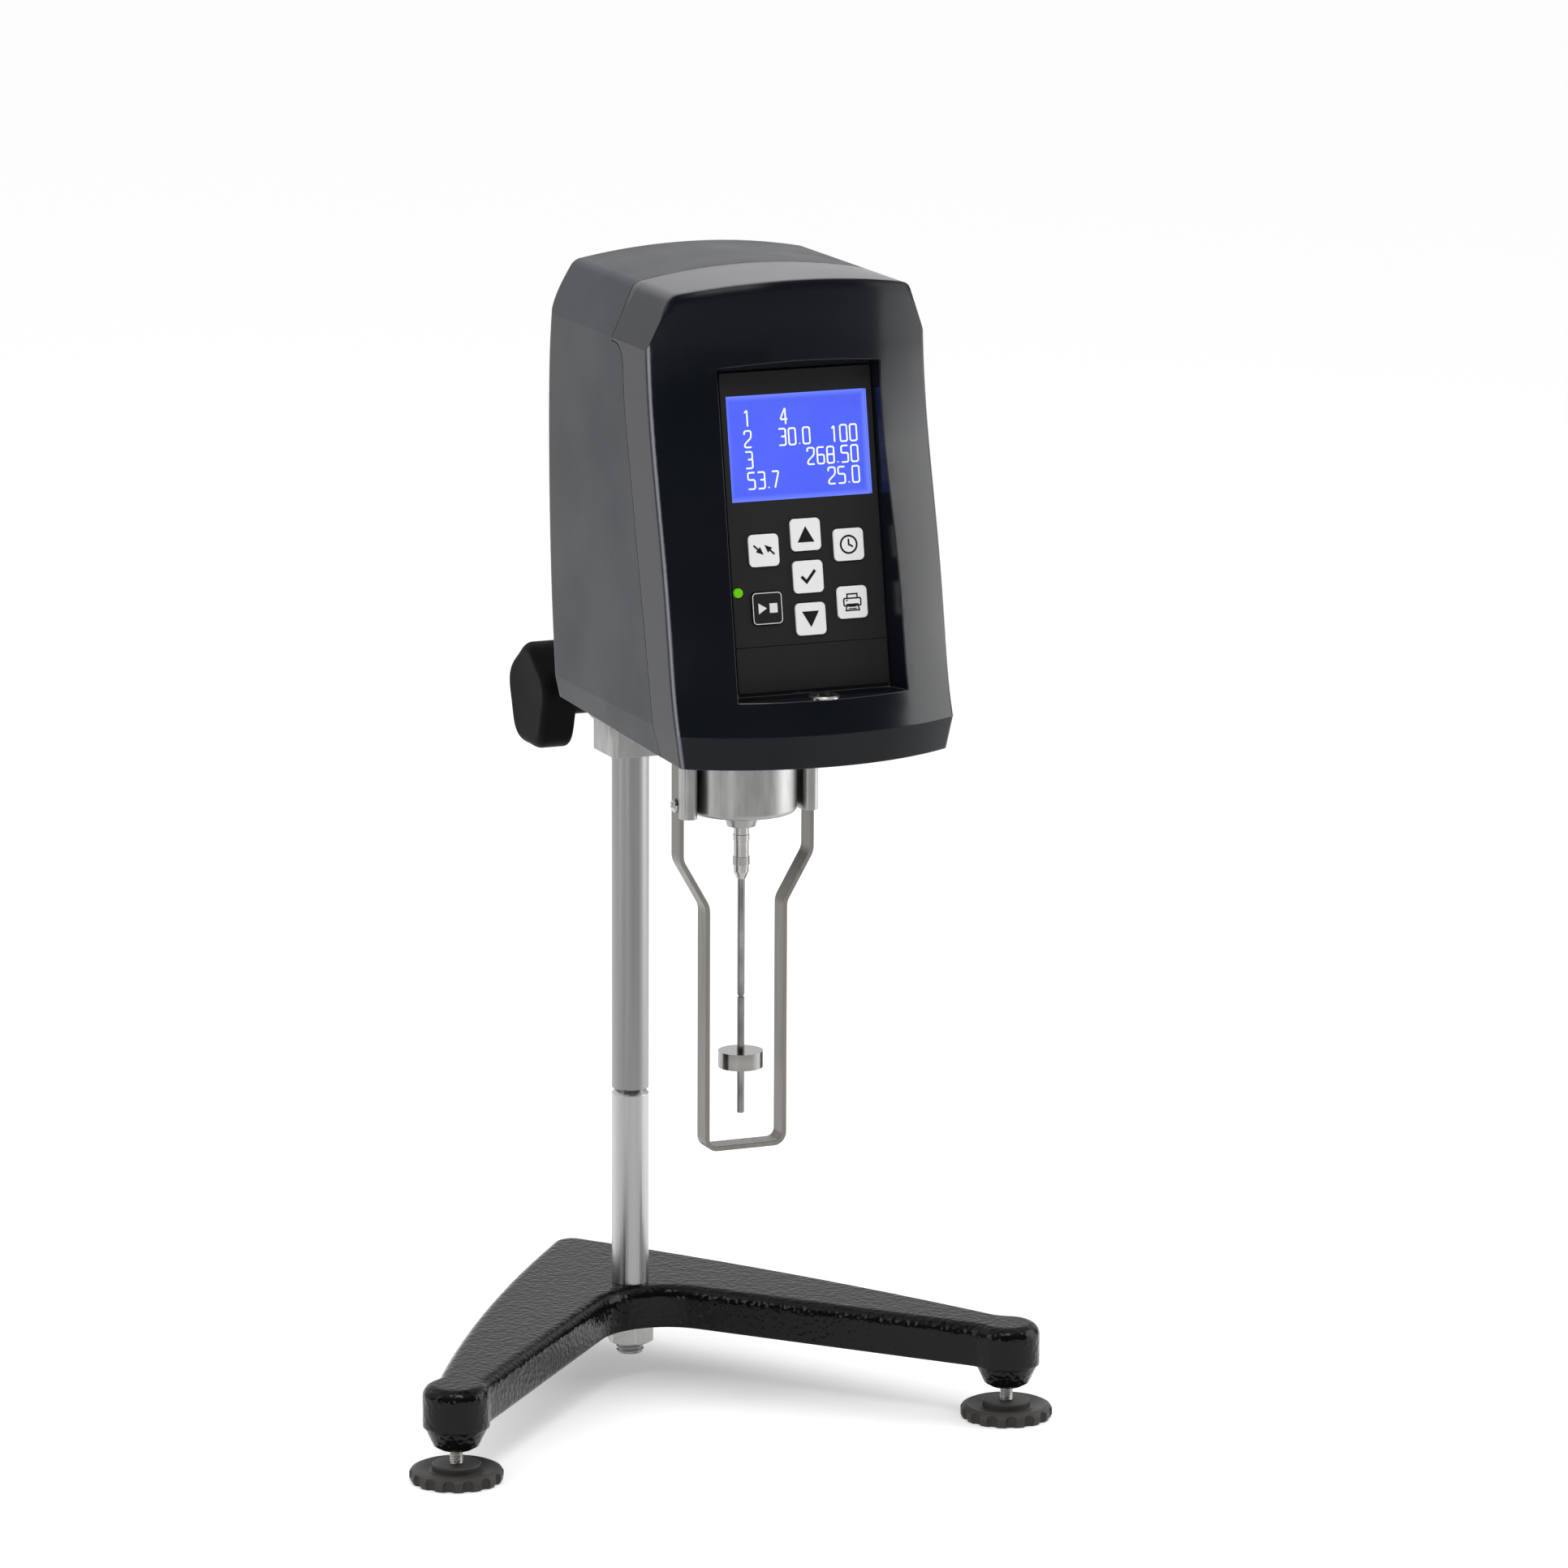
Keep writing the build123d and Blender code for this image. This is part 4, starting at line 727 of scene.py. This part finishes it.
# %% [markdown]
# ### The backlit display
#
# A backlit liquid crystal panel glows evenly, but its edge is paler, where light leaks round the
# black mask. The distance to the nearest edge comes from the panel's own directions: across, and
# up the leaning face.

# %% Display light
PANEL_LEAN = radians(10.2)
PANEL_OUT = Vector((0, -cos(PANEL_LEAN), sin(PANEL_LEAN)))
PANEL_UP = Vector((0, sin(PANEL_LEAN), cos(PANEL_LEAN)))
PANEL_RIGHT = Vector((1, 0, 0))
DISPLAY_BLUE = (0.060, 0.098, 0.70)
DISPLAY_EDGE = (0.17, 0.24, 0.95)
EDGE_FADE = 0.0022


def front_of(name):
    """Centre and half sizes of a part's face that looks out of the panel."""
    points = [v.co for v in nodes[name].data.vertices]
    out = max(p.dot(PANEL_OUT) for p in points)
    face = [p for p in points if p.dot(PANEL_OUT) > out - 2e-5]
    across = [p.dot(PANEL_RIGHT) for p in face]
    up = [p.dot(PANEL_UP) for p in face]
    middle = PANEL_RIGHT * (min(across) + max(across)) / 2 + PANEL_UP * (min(up) + max(up)) / 2
    return middle + PANEL_OUT * out, (max(across) - min(across)) / 2, (max(up) - min(up)) / 2


display_centre, display_x, display_y = front_of("display_window")


def edge_distance(tree, axis, half, place):
    """Distance to the nearer edge of the display along one of its directions."""
    along = add(tree, "ShaderNodeVectorMath", [(place, 0)], operation="DOT_PRODUCT")
    along.inputs[1].default_value = axis
    away = math_node(tree, "SUBTRACT", along.outputs["Value"], display_centre.dot(axis))
    return math_node(tree, "SUBTRACT", half, math_node(tree, "ABSOLUTE", away))


def backlight():
    finish = Finish("display_backlight", DISPLAY_BLUE, 0.3, Emission_Strength=0.95)
    tree = finish.tree
    place = on_object(tree)
    sides = edge_distance(tree, PANEL_RIGHT, display_x, place)
    ends = edge_distance(tree, PANEL_UP, display_y, place)
    leak = spread(tree, math_node(tree, "MINIMUM", sides, ends), EDGE_FADE, 0.0)
    glow = add(tree, "ShaderNodeMix", [(leak, "Factor")], data_type="RGBA")
    glow.inputs[6].default_value = (*DISPLAY_BLUE, 1)
    glow.inputs[7].default_value = (*DISPLAY_EDGE, 1)
    cloud = spread(tree, noise(tree, 60), 0.3, 0.8, 0.0, 0.12)
    uneven = add(tree, "ShaderNodeMix", [(cloud, "Factor"), (glow.outputs[2], 6)], data_type="RGBA")
    uneven.inputs[7].default_value = (*DISPLAY_EDGE, 1)
    finish.link(uneven.outputs[2], "Emission Color")
    return finish.material


# %% [markdown]
# ## Dressing the parts
#
# The record names a material slot for every part. One table from slot to finish dresses them all.

# %% Finish for every slot
ALONG_ROD = (400, 400, 4)
TURNED = (5, 5, 60)
finishes = {
    "stand_paint": casting_enamel(),
    "foot_rubber": moulded("foot_rubber", (0.02, 0.02, 0.02), 0.7, 0.85, depth=0.00004),
    "zinc_steel": metal("zinc_plated_steel", (0.52, 0.515, 0.49), 0.34, (250, 250, 250), 0.000002),
    "wheel_plastic": moulded("wheel_plastic", (0.050, 0.046, 0.043), 0.42, 0.58, depth=0.00005),
    "column_steel": metal("ground_column_steel", (0.48, 0.477, 0.47), 0.30, ALONG_ROD, 0.0000006,
                          painted_core=0.58),
    "satin_aluminium": metal("satin_aluminium", (0.37, 0.37, 0.36), 0.34, (260, 260, 60), 0.000002,
                             painted_core=0.58),
    "bearing_brass": metal("turned_brass", (0.72, 0.52, 0.22), 0.3, (40, 40, 700), 0.000006),
    "knob_plastic": moulded("black_knob_plastic", (0.004, 0.004, 0.004), 0.45, 0.55,
                            depth=0.00003, dust_amount=0.01, shine=0.04),
    "front_plastic": front_plastic(),
    "rear_plastic": rear_plastic(),
    "overlay_film": moulded("matt_keypad_film", (0.011, 0.011, 0.011), 0.5, 0.62, 3200.0,
                            depth=0.000006, edge=0.0002),
    "window_glass": clear("display_window", (1.0, 1.0, 1.0), 0.02),
    "display_blue": backlight(),
    "led_green": lit("led_green", (0.10, 0.42, 0.0), 0.5),
    "board_green": board_green(),
    "bright_steel": metal("bright_turned_steel", (0.48, 0.47, 0.45), 0.22, TURNED, 0.0000003,
                          0.02, edge=0, painted_core=0.5),
    "vial_acrylic": clear("level_vial", (0.9, 0.98, 0.75), 0.03),
    "bubble_air": clear("level_bubble", (1.0, 1.0, 1.0), 0.0, 1.1),
    "guard_steel": metal("drawn_guard_strip", (0.19, 0.178, 0.160), 0.34, (500, 500, 14), 0.000002),
    "spindle_steel": metal("ground_stainless", (0.36, 0.35, 0.33), 0.22, TURNED, 0.0000003,
                           0.02, edge=0, painted_core=0.30),
    "motor_case": moulded("motor_paint", (0.08, 0.08, 0.09), 0.4, 0.55),
    "key_plastic": moulded("white_key_plastic", (0.90, 0.90, 0.89), 0.4, 0.5, 3000.0,
                           depth=0.000008, edge=0.0003),
    "key_black": moulded("black_key_plastic", (0.012, 0.012, 0.012), 0.4, 0.5, 3000.0,
                         depth=0.000008, edge=0.0003),
}
slot_of = {part["node"]: part["material_slot"] for part in frame["record"]["subparts"]}
for name, node in nodes.items():
    node.data.materials.clear()
    node.data.materials.append(finishes[slot_of[name]])
nodes["column_upper"].data.materials[0] = metal(
    "satin_column_steel", (0.31, 0.31, 0.305), 0.34, ALONG_ROD, 0.0000006, painted_core=0.58)
print(len(finishes), "finishes on", len(nodes), "parts")

# %% [markdown]
# ## Printing on the panel
#
# Marks printed on a key are a few hundredths of a millimetre thick. They could be painted by a
# texture, but thin solid shapes stay sharp at any distance and move with their key. Every mark is
# made from two things: a filled outline, and a line of even width with mitred corners.

# %% Lines and filled shapes
INK = 0.00004


def ribbon(points, width, closed=False):
    """Outer and inner edge of a line with mitred corners, as two lists of points."""
    path = [Vector((x, y, 0)) for x, y in points]
    count = len(path)
    left, right = [], []
    for i, here in enumerate(path):
        before = path[i - 1] if closed or i > 0 else here * 2 - path[i + 1]
        after = path[(i + 1) % count] if closed or i < count - 1 else here * 2 - path[i - 1]
        a = (here - before).normalized()
        b = (after - here).normalized()
        normal = Vector((-(a.y + b.y), a.x + b.x, 0)).normalized()
        stretch = width / 2 / max(0.35, normal.dot(Vector((-a.y, a.x, 0))))
        left.append(here + normal * stretch)
        right.append(here - normal * stretch)
    return left, right


def add_ribbon(mesh, points, width, closed=False):
    """Flat quads along a line."""
    left, right = ribbon(points, width, closed)
    upper = [mesh.verts.new(p) for p in left]
    lower = [mesh.verts.new(p) for p in right]
    count = len(points)
    for i in range(count if closed else count - 1):
        j = (i + 1) % count
        mesh.faces.new((lower[i], lower[j], upper[j], upper[i]))


def add_fill(mesh, points):
    """One filled outline."""
    mesh.faces.new([mesh.verts.new((x, y, 0)) for x, y in points])


def finished_mesh(mesh, name):
    """Turns a mesh under construction into mesh data."""
    bmesh.ops.recalc_face_normals(mesh, faces=mesh.faces)
    data = bpy.data.meshes.new(name)
    mesh.to_mesh(data)
    mesh.free()
    return data


def add_piece(name, data, material, body):
    """Puts a piece on a body, with a finish."""
    data.materials.append(material)
    piece = bpy.data.objects.new(name, data)
    bpy.context.scene.collection.objects.link(piece)
    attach(piece, body)
    return piece


def printed(name, shapes, centre, material, body,
            axes=(PANEL_RIGHT, PANEL_UP, PANEL_OUT)):
    """Thin solid marks, in metres from a centre, on the plane of the first two axes."""
    mesh = bmesh.new()
    for kind, points, *rest in shapes:
        if kind == "fill":
            add_fill(mesh, points)
        else:
            add_ribbon(mesh, points, rest[0], kind == "ring")
    flat = list(mesh.faces)
    raised = bmesh.ops.extrude_face_region(mesh, geom=flat)
    tops = [v for v in raised["geom"] if isinstance(v, bmesh.types.BMVert)]
    bmesh.ops.translate(mesh, verts=tops, vec=(0, 0, INK))
    data = finished_mesh(mesh, name)
    turned = Matrix(axes).transposed().to_4x4()
    data.transform(Matrix.Translation(centre) @ turned)
    add_piece(name, data, material, body)


def arc(radius, start, end, steps=24, x=0.0, y=0.0):
    """Points along an arc, in degrees."""
    turns = [radians(start + (end - start) * i / steps) for i in range(steps + 1)]
    return [(x + radius * cos(a), y + radius * sin(a)) for a in turns]


def rounded_box(half_x, half_y, radius, x=0.0, y=0.0):
    """Outline of a box with round corners."""
    points = []
    for quarter, (sx, sy) in enumerate(((1, 1), (-1, 1), (-1, -1), (1, -1))):
        centre = (x + sx * (half_x - radius), y + sy * (half_y - radius))
        points += arc(radius, 90 * quarter, 90 * quarter + 90, 6, *centre)
    return points


print("ink is", round(INK / MM, 2), "mm thick")

# %% [markdown]
# ### Symbols on the keys
#
# Up and down are filled triangles and the swap key has two arrows nose to nose, as on the real
# keypad. The keys that carry a word there get a plain symbol here: a tick to confirm, a clock for
# timing and a triangle beside a square for start and stop. The print key has a little printer.

# %% Key symbols
INK_SKIN = {"grain_scale": 3000.0, "depth": 0.000003, "dust_amount": 0.0, "edge": 0.0001}
black_ink = moulded("black_key_ink", (0.003, 0.003, 0.003), 0.5, 0.6, **INK_SKIN)
white_ink = moulded("white_key_ink", (0.82, 0.82, 0.82), 0.35, 0.45, **INK_SKIN)


def scaled(points):
    """Millimetres to metres."""
    return [(x * MM, y * MM) for x, y in points]


def arrow(tip, tail, width, head):
    """Line with a filled head, in millimetres."""
    tip, tail = Vector(tip), Vector(tail)
    along = (tip - tail).normalized()
    side = Vector((-along.y, along.x))
    neck = tip - along * head
    outline = [tip, neck + side * head * 0.42, neck - side * head * 0.42]
    return [
        ("line", scaled([tuple(tail), tuple(neck)]), width * MM),
        ("fill", scaled([tuple(p) for p in outline])),
    ]


key_symbols = {
    "key_up": [("fill", scaled([(-3.7, -3.1), (3.7, -3.1), (0, 3.4)]))],
    "key_down": [("fill", scaled([(-3.7, 3.1), (0, -3.4), (3.7, 3.1)]))],
    "key_swap": [
        *arrow((-0.2, -1.8), (-4.4, 2.2), 0.75, 3.3),
        *arrow((0.3, 2.2), (4.5, -1.8), 0.75, 3.3),
    ],
    "key_ok": [("line", scaled([(-2.9, 0.2), (-0.8, -2.1), (3.1, 2.5)]), 1.25 * MM)],
    "key_scan": [
        ("ring", scaled(arc(3.5, 0, 350, 35)), 0.8 * MM),
        ("line", scaled([(0, 2.3), (0, 0), (1.8, -1.0)]), 0.75 * MM),
    ],
    "key_start": [
        ("fill", scaled([(-3.9, -2.2), (-0.3, 0), (-3.9, 2.2)])),
        ("fill", scaled([(0.9, -1.9), (4.3, -1.9), (4.3, 1.9), (0.9, 1.9)])),
        ("ring", scaled(rounded_box(6.2, 6.2, 1.5)), 0.3 * MM),
    ],
    "key_print": [
        ("ring", scaled(rounded_box(3.7, 1.5, 0.5, 0, 0.1)), 0.6 * MM),
        ("line", scaled([(-2.2, 1.85), (-2.2, 3.3), (2.2, 3.3), (2.2, 1.85)]), 0.6 * MM),
        ("ring", scaled([(-2.4, -0.9), (2.4, -0.9), (2.9, -3.3), (-2.9, -3.3)][::-1]), 0.6 * MM),
        ("line", scaled([(-1.6, -1.7), (1.6, -1.7)]), 0.45 * MM),
        ("line", scaled([(-1.8, -2.6), (1.8, -2.6)]), 0.45 * MM),
        ("line", scaled([(-2.9, 0.75), (-1.9, 0.75)]), 0.4 * MM),
    ],
}
for key, shapes in key_symbols.items():
    centre, half_width, _ = front_of(key)
    dark = key == "key_start"
    printed(key + "_symbol", shapes, centre, white_ink if dark else black_ink, key)
print(len(key_symbols), "key symbols, on keys", round(2 * half_width / MM, 1), "mm wide")

# %% [markdown]
# ### Marks on the level and the mains switch
#
# The round level has a ring that the bubble is brought into, printed on top of the vial. A mains
# switch has a bar on the half that is pressed for on and a circle on the other. They are the
# international signs, so they are kept. Each lies on the largest flat face of its half.

# %% Level ring and switch signs
vial_low, vial_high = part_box("level_vial")
vial_top = Vector(((vial_low.x + vial_high.x) / 2, (vial_low.y + vial_high.y) / 2, vial_high.z))
level_axes = (Vector((1, 0, 0)), Vector((0, 1, 0)), Vector((0, 0, 1)))
level_ring_mark = ("ring", scaled(arc(2.1, 0, 352, 44)), 0.26 * MM)
printed("level_mark", [level_ring_mark], vial_top, black_ink, "head", level_axes)


def rear_faces(name):
    """Centre and normal of the two large faces that look to the rear, the upper one first."""
    found = {}
    for face in nodes[name].data.polygons:
        if face.normal.y > 0.9:
            key = round(face.normal.z, 2)
            area, centre = found.get(key, (0.0, Vector()))
            found[key] = (area + face.area, centre + face.center * face.area)
    widest = sorted(found.items(), key=lambda item: -item[1][0])[:2]
    faces = [(centre / area, Vector((0, cos(asin(z)), z))) for z, (area, centre) in widest]
    return sorted(faces, key=lambda item: -item[0].z)


upper_face, lower_face = rear_faces("switch_rocker")
for name, shapes, (centre, out) in (
    ("switch_bar", [("line", scaled([(0, -1.5), (0, 1.5)]), 0.5 * MM)], upper_face),
    ("switch_circle", [("ring", scaled(arc(1.3, 0, 350, 35)), 0.45 * MM)], lower_face),
):
    right = Vector((-1, 0, 0))
    sign_axes = (right, out.cross(right), out)
    printed(name, shapes, centre, white_ink, "rocker", sign_axes)
    print(name, "at", [round(c / MM, 1) for c in centre])

# %% [markdown]
# ### Figures on the display
#
# The display shows plain numbers, drawn as a tall narrow liquid crystal figure would be: each
# figure is one or two lines on a grid of two columns and four rows. The corners are cut, which is
# what gives such figures their square look.

# %% Display figures
FIGURE_WIDTH = 2.9 * MM
FIGURE_HEIGHT = 6.6 * MM
FIGURE_PITCH = 4.3 * MM
POINT_PITCH = 1.9 * MM
STROKE = 0.62 * MM
CUT = 0.18
figure_lines = {
    "0": [("ring", [(0, 0), (1, 0), (1, 1), (0, 1)])],
    "1": [("line", [(0.25, 0.82), (0.6, 1), (0.6, 0)])],
    "2": [("line", [(0, 0.78), (0, 1), (1, 1), (1, 0.58), (0, 0.2), (0, 0), (1, 0)])],
    "3": [
        ("line", [(0, 1), (1, 1), (1, 0.53), (0.35, 0.53)]),
        ("line", [(1, 0.53), (1, 0), (0, 0)]),
    ],
    "4": [("line", [(0.8, 0), (0.8, 1), (0, 0.3), (1.1, 0.3)])],
    "5": [("line", [(1, 1), (0, 1), (0, 0.56), (1, 0.56), (1, 0), (0, 0)])],
    "6": [("line", [(1, 1), (0, 1), (0, 0), (1, 0), (1, 0.54), (0, 0.54)])],
    "7": [("line", [(0, 1), (1, 1), (0.35, 0)])],
    "8": [("ring", [(0, 0), (1, 0), (1, 1), (0, 1)]), ("line", [(0, 0.53), (1, 0.53)])],
    "9": [("line", [(0, 0), (1, 0), (1, 1), (0, 1), (0, 0.46), (1, 0.46)])],
    ".": [("fill", [(0, 0), (0.18, 0), (0.18, 0.08), (0, 0.08)])],
}


def cut_corners(points, closed):
    """Each corner of a line becomes two points a little before and after it."""
    result = []
    count = len(points)
    for i, here in enumerate(points):
        if not closed and i in (0, count - 1):
            result.append(here)
            continue
        corner = Vector(here)
        for other in (points[i - 1], points[(i + 1) % count]):
            way = Vector(other) - corner
            step = min(CUT * FIGURE_WIDTH, way.length * 0.4)
            result.append(tuple(corner + way.normalized() * step))
    return result


def figure(character, x, y):
    """Shapes of one figure with its lower left corner at a place."""
    shapes = []
    for kind, points in figure_lines[character]:
        placed = [(x + px * FIGURE_WIDTH, y + py * FIGURE_HEIGHT) for px, py in points]
        if kind == "fill":
            shapes.append((kind, placed))
        else:
            shapes.append((kind, cut_corners(placed, kind == "ring"), STROKE))
    return shapes


def figures(text, right, base):
    """Shapes of a number whose last figure ends at a place."""
    shapes = []
    x = right
    for character in reversed(text):
        x -= POINT_PITCH if character == "." else FIGURE_PITCH
        shapes += figure(character, x, base)
    return shapes


glass_front = front_of("lcd_module")[0]
FIRST_ROW = 12.2 * MM
ROW_PITCH = 8.4 * MM
# (number, right end in millimetres from the middle) for each row
rows = [
    [("1", -18.5), ("4", -2.5)],
    [("2", -18.5), ("30.0", 7.0), ("100", 27.5)],
    [("3", -18.5), ("268.50", 27.5)],
    [("53.7", -7.5), ("25.0", 27.5)],
]
display_shapes = []
for number, row in enumerate(rows):
    base = display_y - FIRST_ROW - number * ROW_PITCH
    for text, right in row:
        display_shapes += figures(text, right * MM, base)
display_ink = lit("display_figures", (0.85, 0.88, 1.0), 0.9)
printed("display_figures", display_shapes, glass_front, display_ink, "head")
display_size = [round(2 * half / MM, 1) for half in (display_x, display_y)]
print("display", display_size, "mm with", len(rows), "rows")

# %% [markdown]
# ## Threads
#
# The studs of the levelling feet and the lower end of the column carry screw threads. A thread is
# a tube whose radius rises and falls along a helix, so a grid of points with the turn added to
# the height makes it, with no boolean cut.

# %% Thread maker
AROUND = 40
PER_PITCH = 8
GROOVE_HALF = 0.38


def lathe_mesh(name, rings):
    """Closed mesh from rings of points that all have the same count."""
    mesh = bmesh.new()
    grid = [[mesh.verts.new(p) for p in ring] for ring in rings]
    count = len(grid[0])
    for low, high in zip(grid, grid[1:]):
        for i in range(count):
            j = (i + 1) % count
            mesh.faces.new((low[i], low[j], high[j], high[i]))
    mesh.faces.new(list(reversed(grid[0])))
    mesh.faces.new(grid[-1])
    return finished_mesh(mesh, name)


def screw_rings(radius, depth, pitch, low, high, x, y, lead_in):
    """Rings of a threaded rod from bottom to top, with tapered ends."""
    steps = max(4, round((high - low) / pitch * PER_PITCH))
    rings = []
    for step in range(steps + 1):
        z = low + (high - low) * step / steps
        ends = min(z - low, high - z)
        limit = radius - max(0.0, lead_in - ends)
        ring = []
        for i in range(AROUND):
            angle = tau * i / AROUND
            phase = ((z - low) / pitch - i / AROUND) % 1.0
            groove = depth * max(0.0, 1 - abs(phase - 0.5) / GROOVE_HALF)
            r = min(radius - groove, limit)
            ring.append((x + r * cos(angle), y + r * sin(angle), z))
        rings.append(ring)
    return rings


def plain_ring(radius, z, x, y):
    """Points of one round ring."""
    turns = [tau * i / AROUND for i in range(AROUND)]
    return [(x + radius * cos(turn), y + radius * sin(turn), z) for turn in turns]


def place_turned(name, rings, material, body, slot, *replaced):
    """Turned piece that stands for parts of the frame."""
    piece = add_piece(name, lathe_mesh(name, rings), material, body)
    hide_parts(*replaced)


print("threads have", PER_PITCH, "rings of", AROUND, "points to each turn")

# %% Threaded studs of the feet
FOOT_PITCH = 1.0 * MM
FOOT_DEPTH = 0.5 * MM
for side in ("left", "right"):
    low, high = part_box(f"foot_stud_{side}")
    x, y = (low.x + high.x) / 2, (low.y + high.y) / 2
    radius = (high.x - low.x) / 2
    rings = screw_rings(radius, FOOT_DEPTH, FOOT_PITCH, low.z, high.z, x, y, 0.7 * MM)
    place_turned(f"foot_thread_{side}", rings, finishes["zinc_steel"], f"foot_screw_{side}",
                 "zinc_steel", f"foot_stud_{side}")
print("foot studs", round((high.z - low.z) / MM, 1), "mm long")

# %% Lower column with its threaded end
BASE_STUD_RADIUS = 6.0 * MM
BASE_PITCH = 1.75 * MM
BASE_DEPTH = 0.95 * MM
COLUMN_CHAMFER = 1.3 * MM
THREAD_END = 2 * MM
low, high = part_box("column_lower")
_, casting_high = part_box("base_casting")
x, y = (low.x + high.x) / 2, (low.y + high.y) / 2
radius = (high.x - low.x) / 2
rings = screw_rings(BASE_STUD_RADIUS, BASE_DEPTH, BASE_PITCH, low.z,
                    casting_high.z - THREAD_END, x, y, 0.9 * MM)
for ring_radius, z in (
    (BASE_STUD_RADIUS, casting_high.z),
    (radius, casting_high.z),
    (radius, casting_high.z + 0.5 * MM),
    (radius, high.z - COLUMN_CHAMFER),
    (radius - COLUMN_CHAMFER, high.z),
):
    rings.append(plain_ring(ring_radius, z, x, y))
place_turned("column_lower_threaded", rings, finishes["column_steel"], "stand",
             "column_steel", "column_lower")
print("column stud thread", round(BASE_STUD_RADIUS * 2 / MM), "by", BASE_PITCH / MM)

# %% [markdown]
# The visual model has to stay inside the box of the solids.
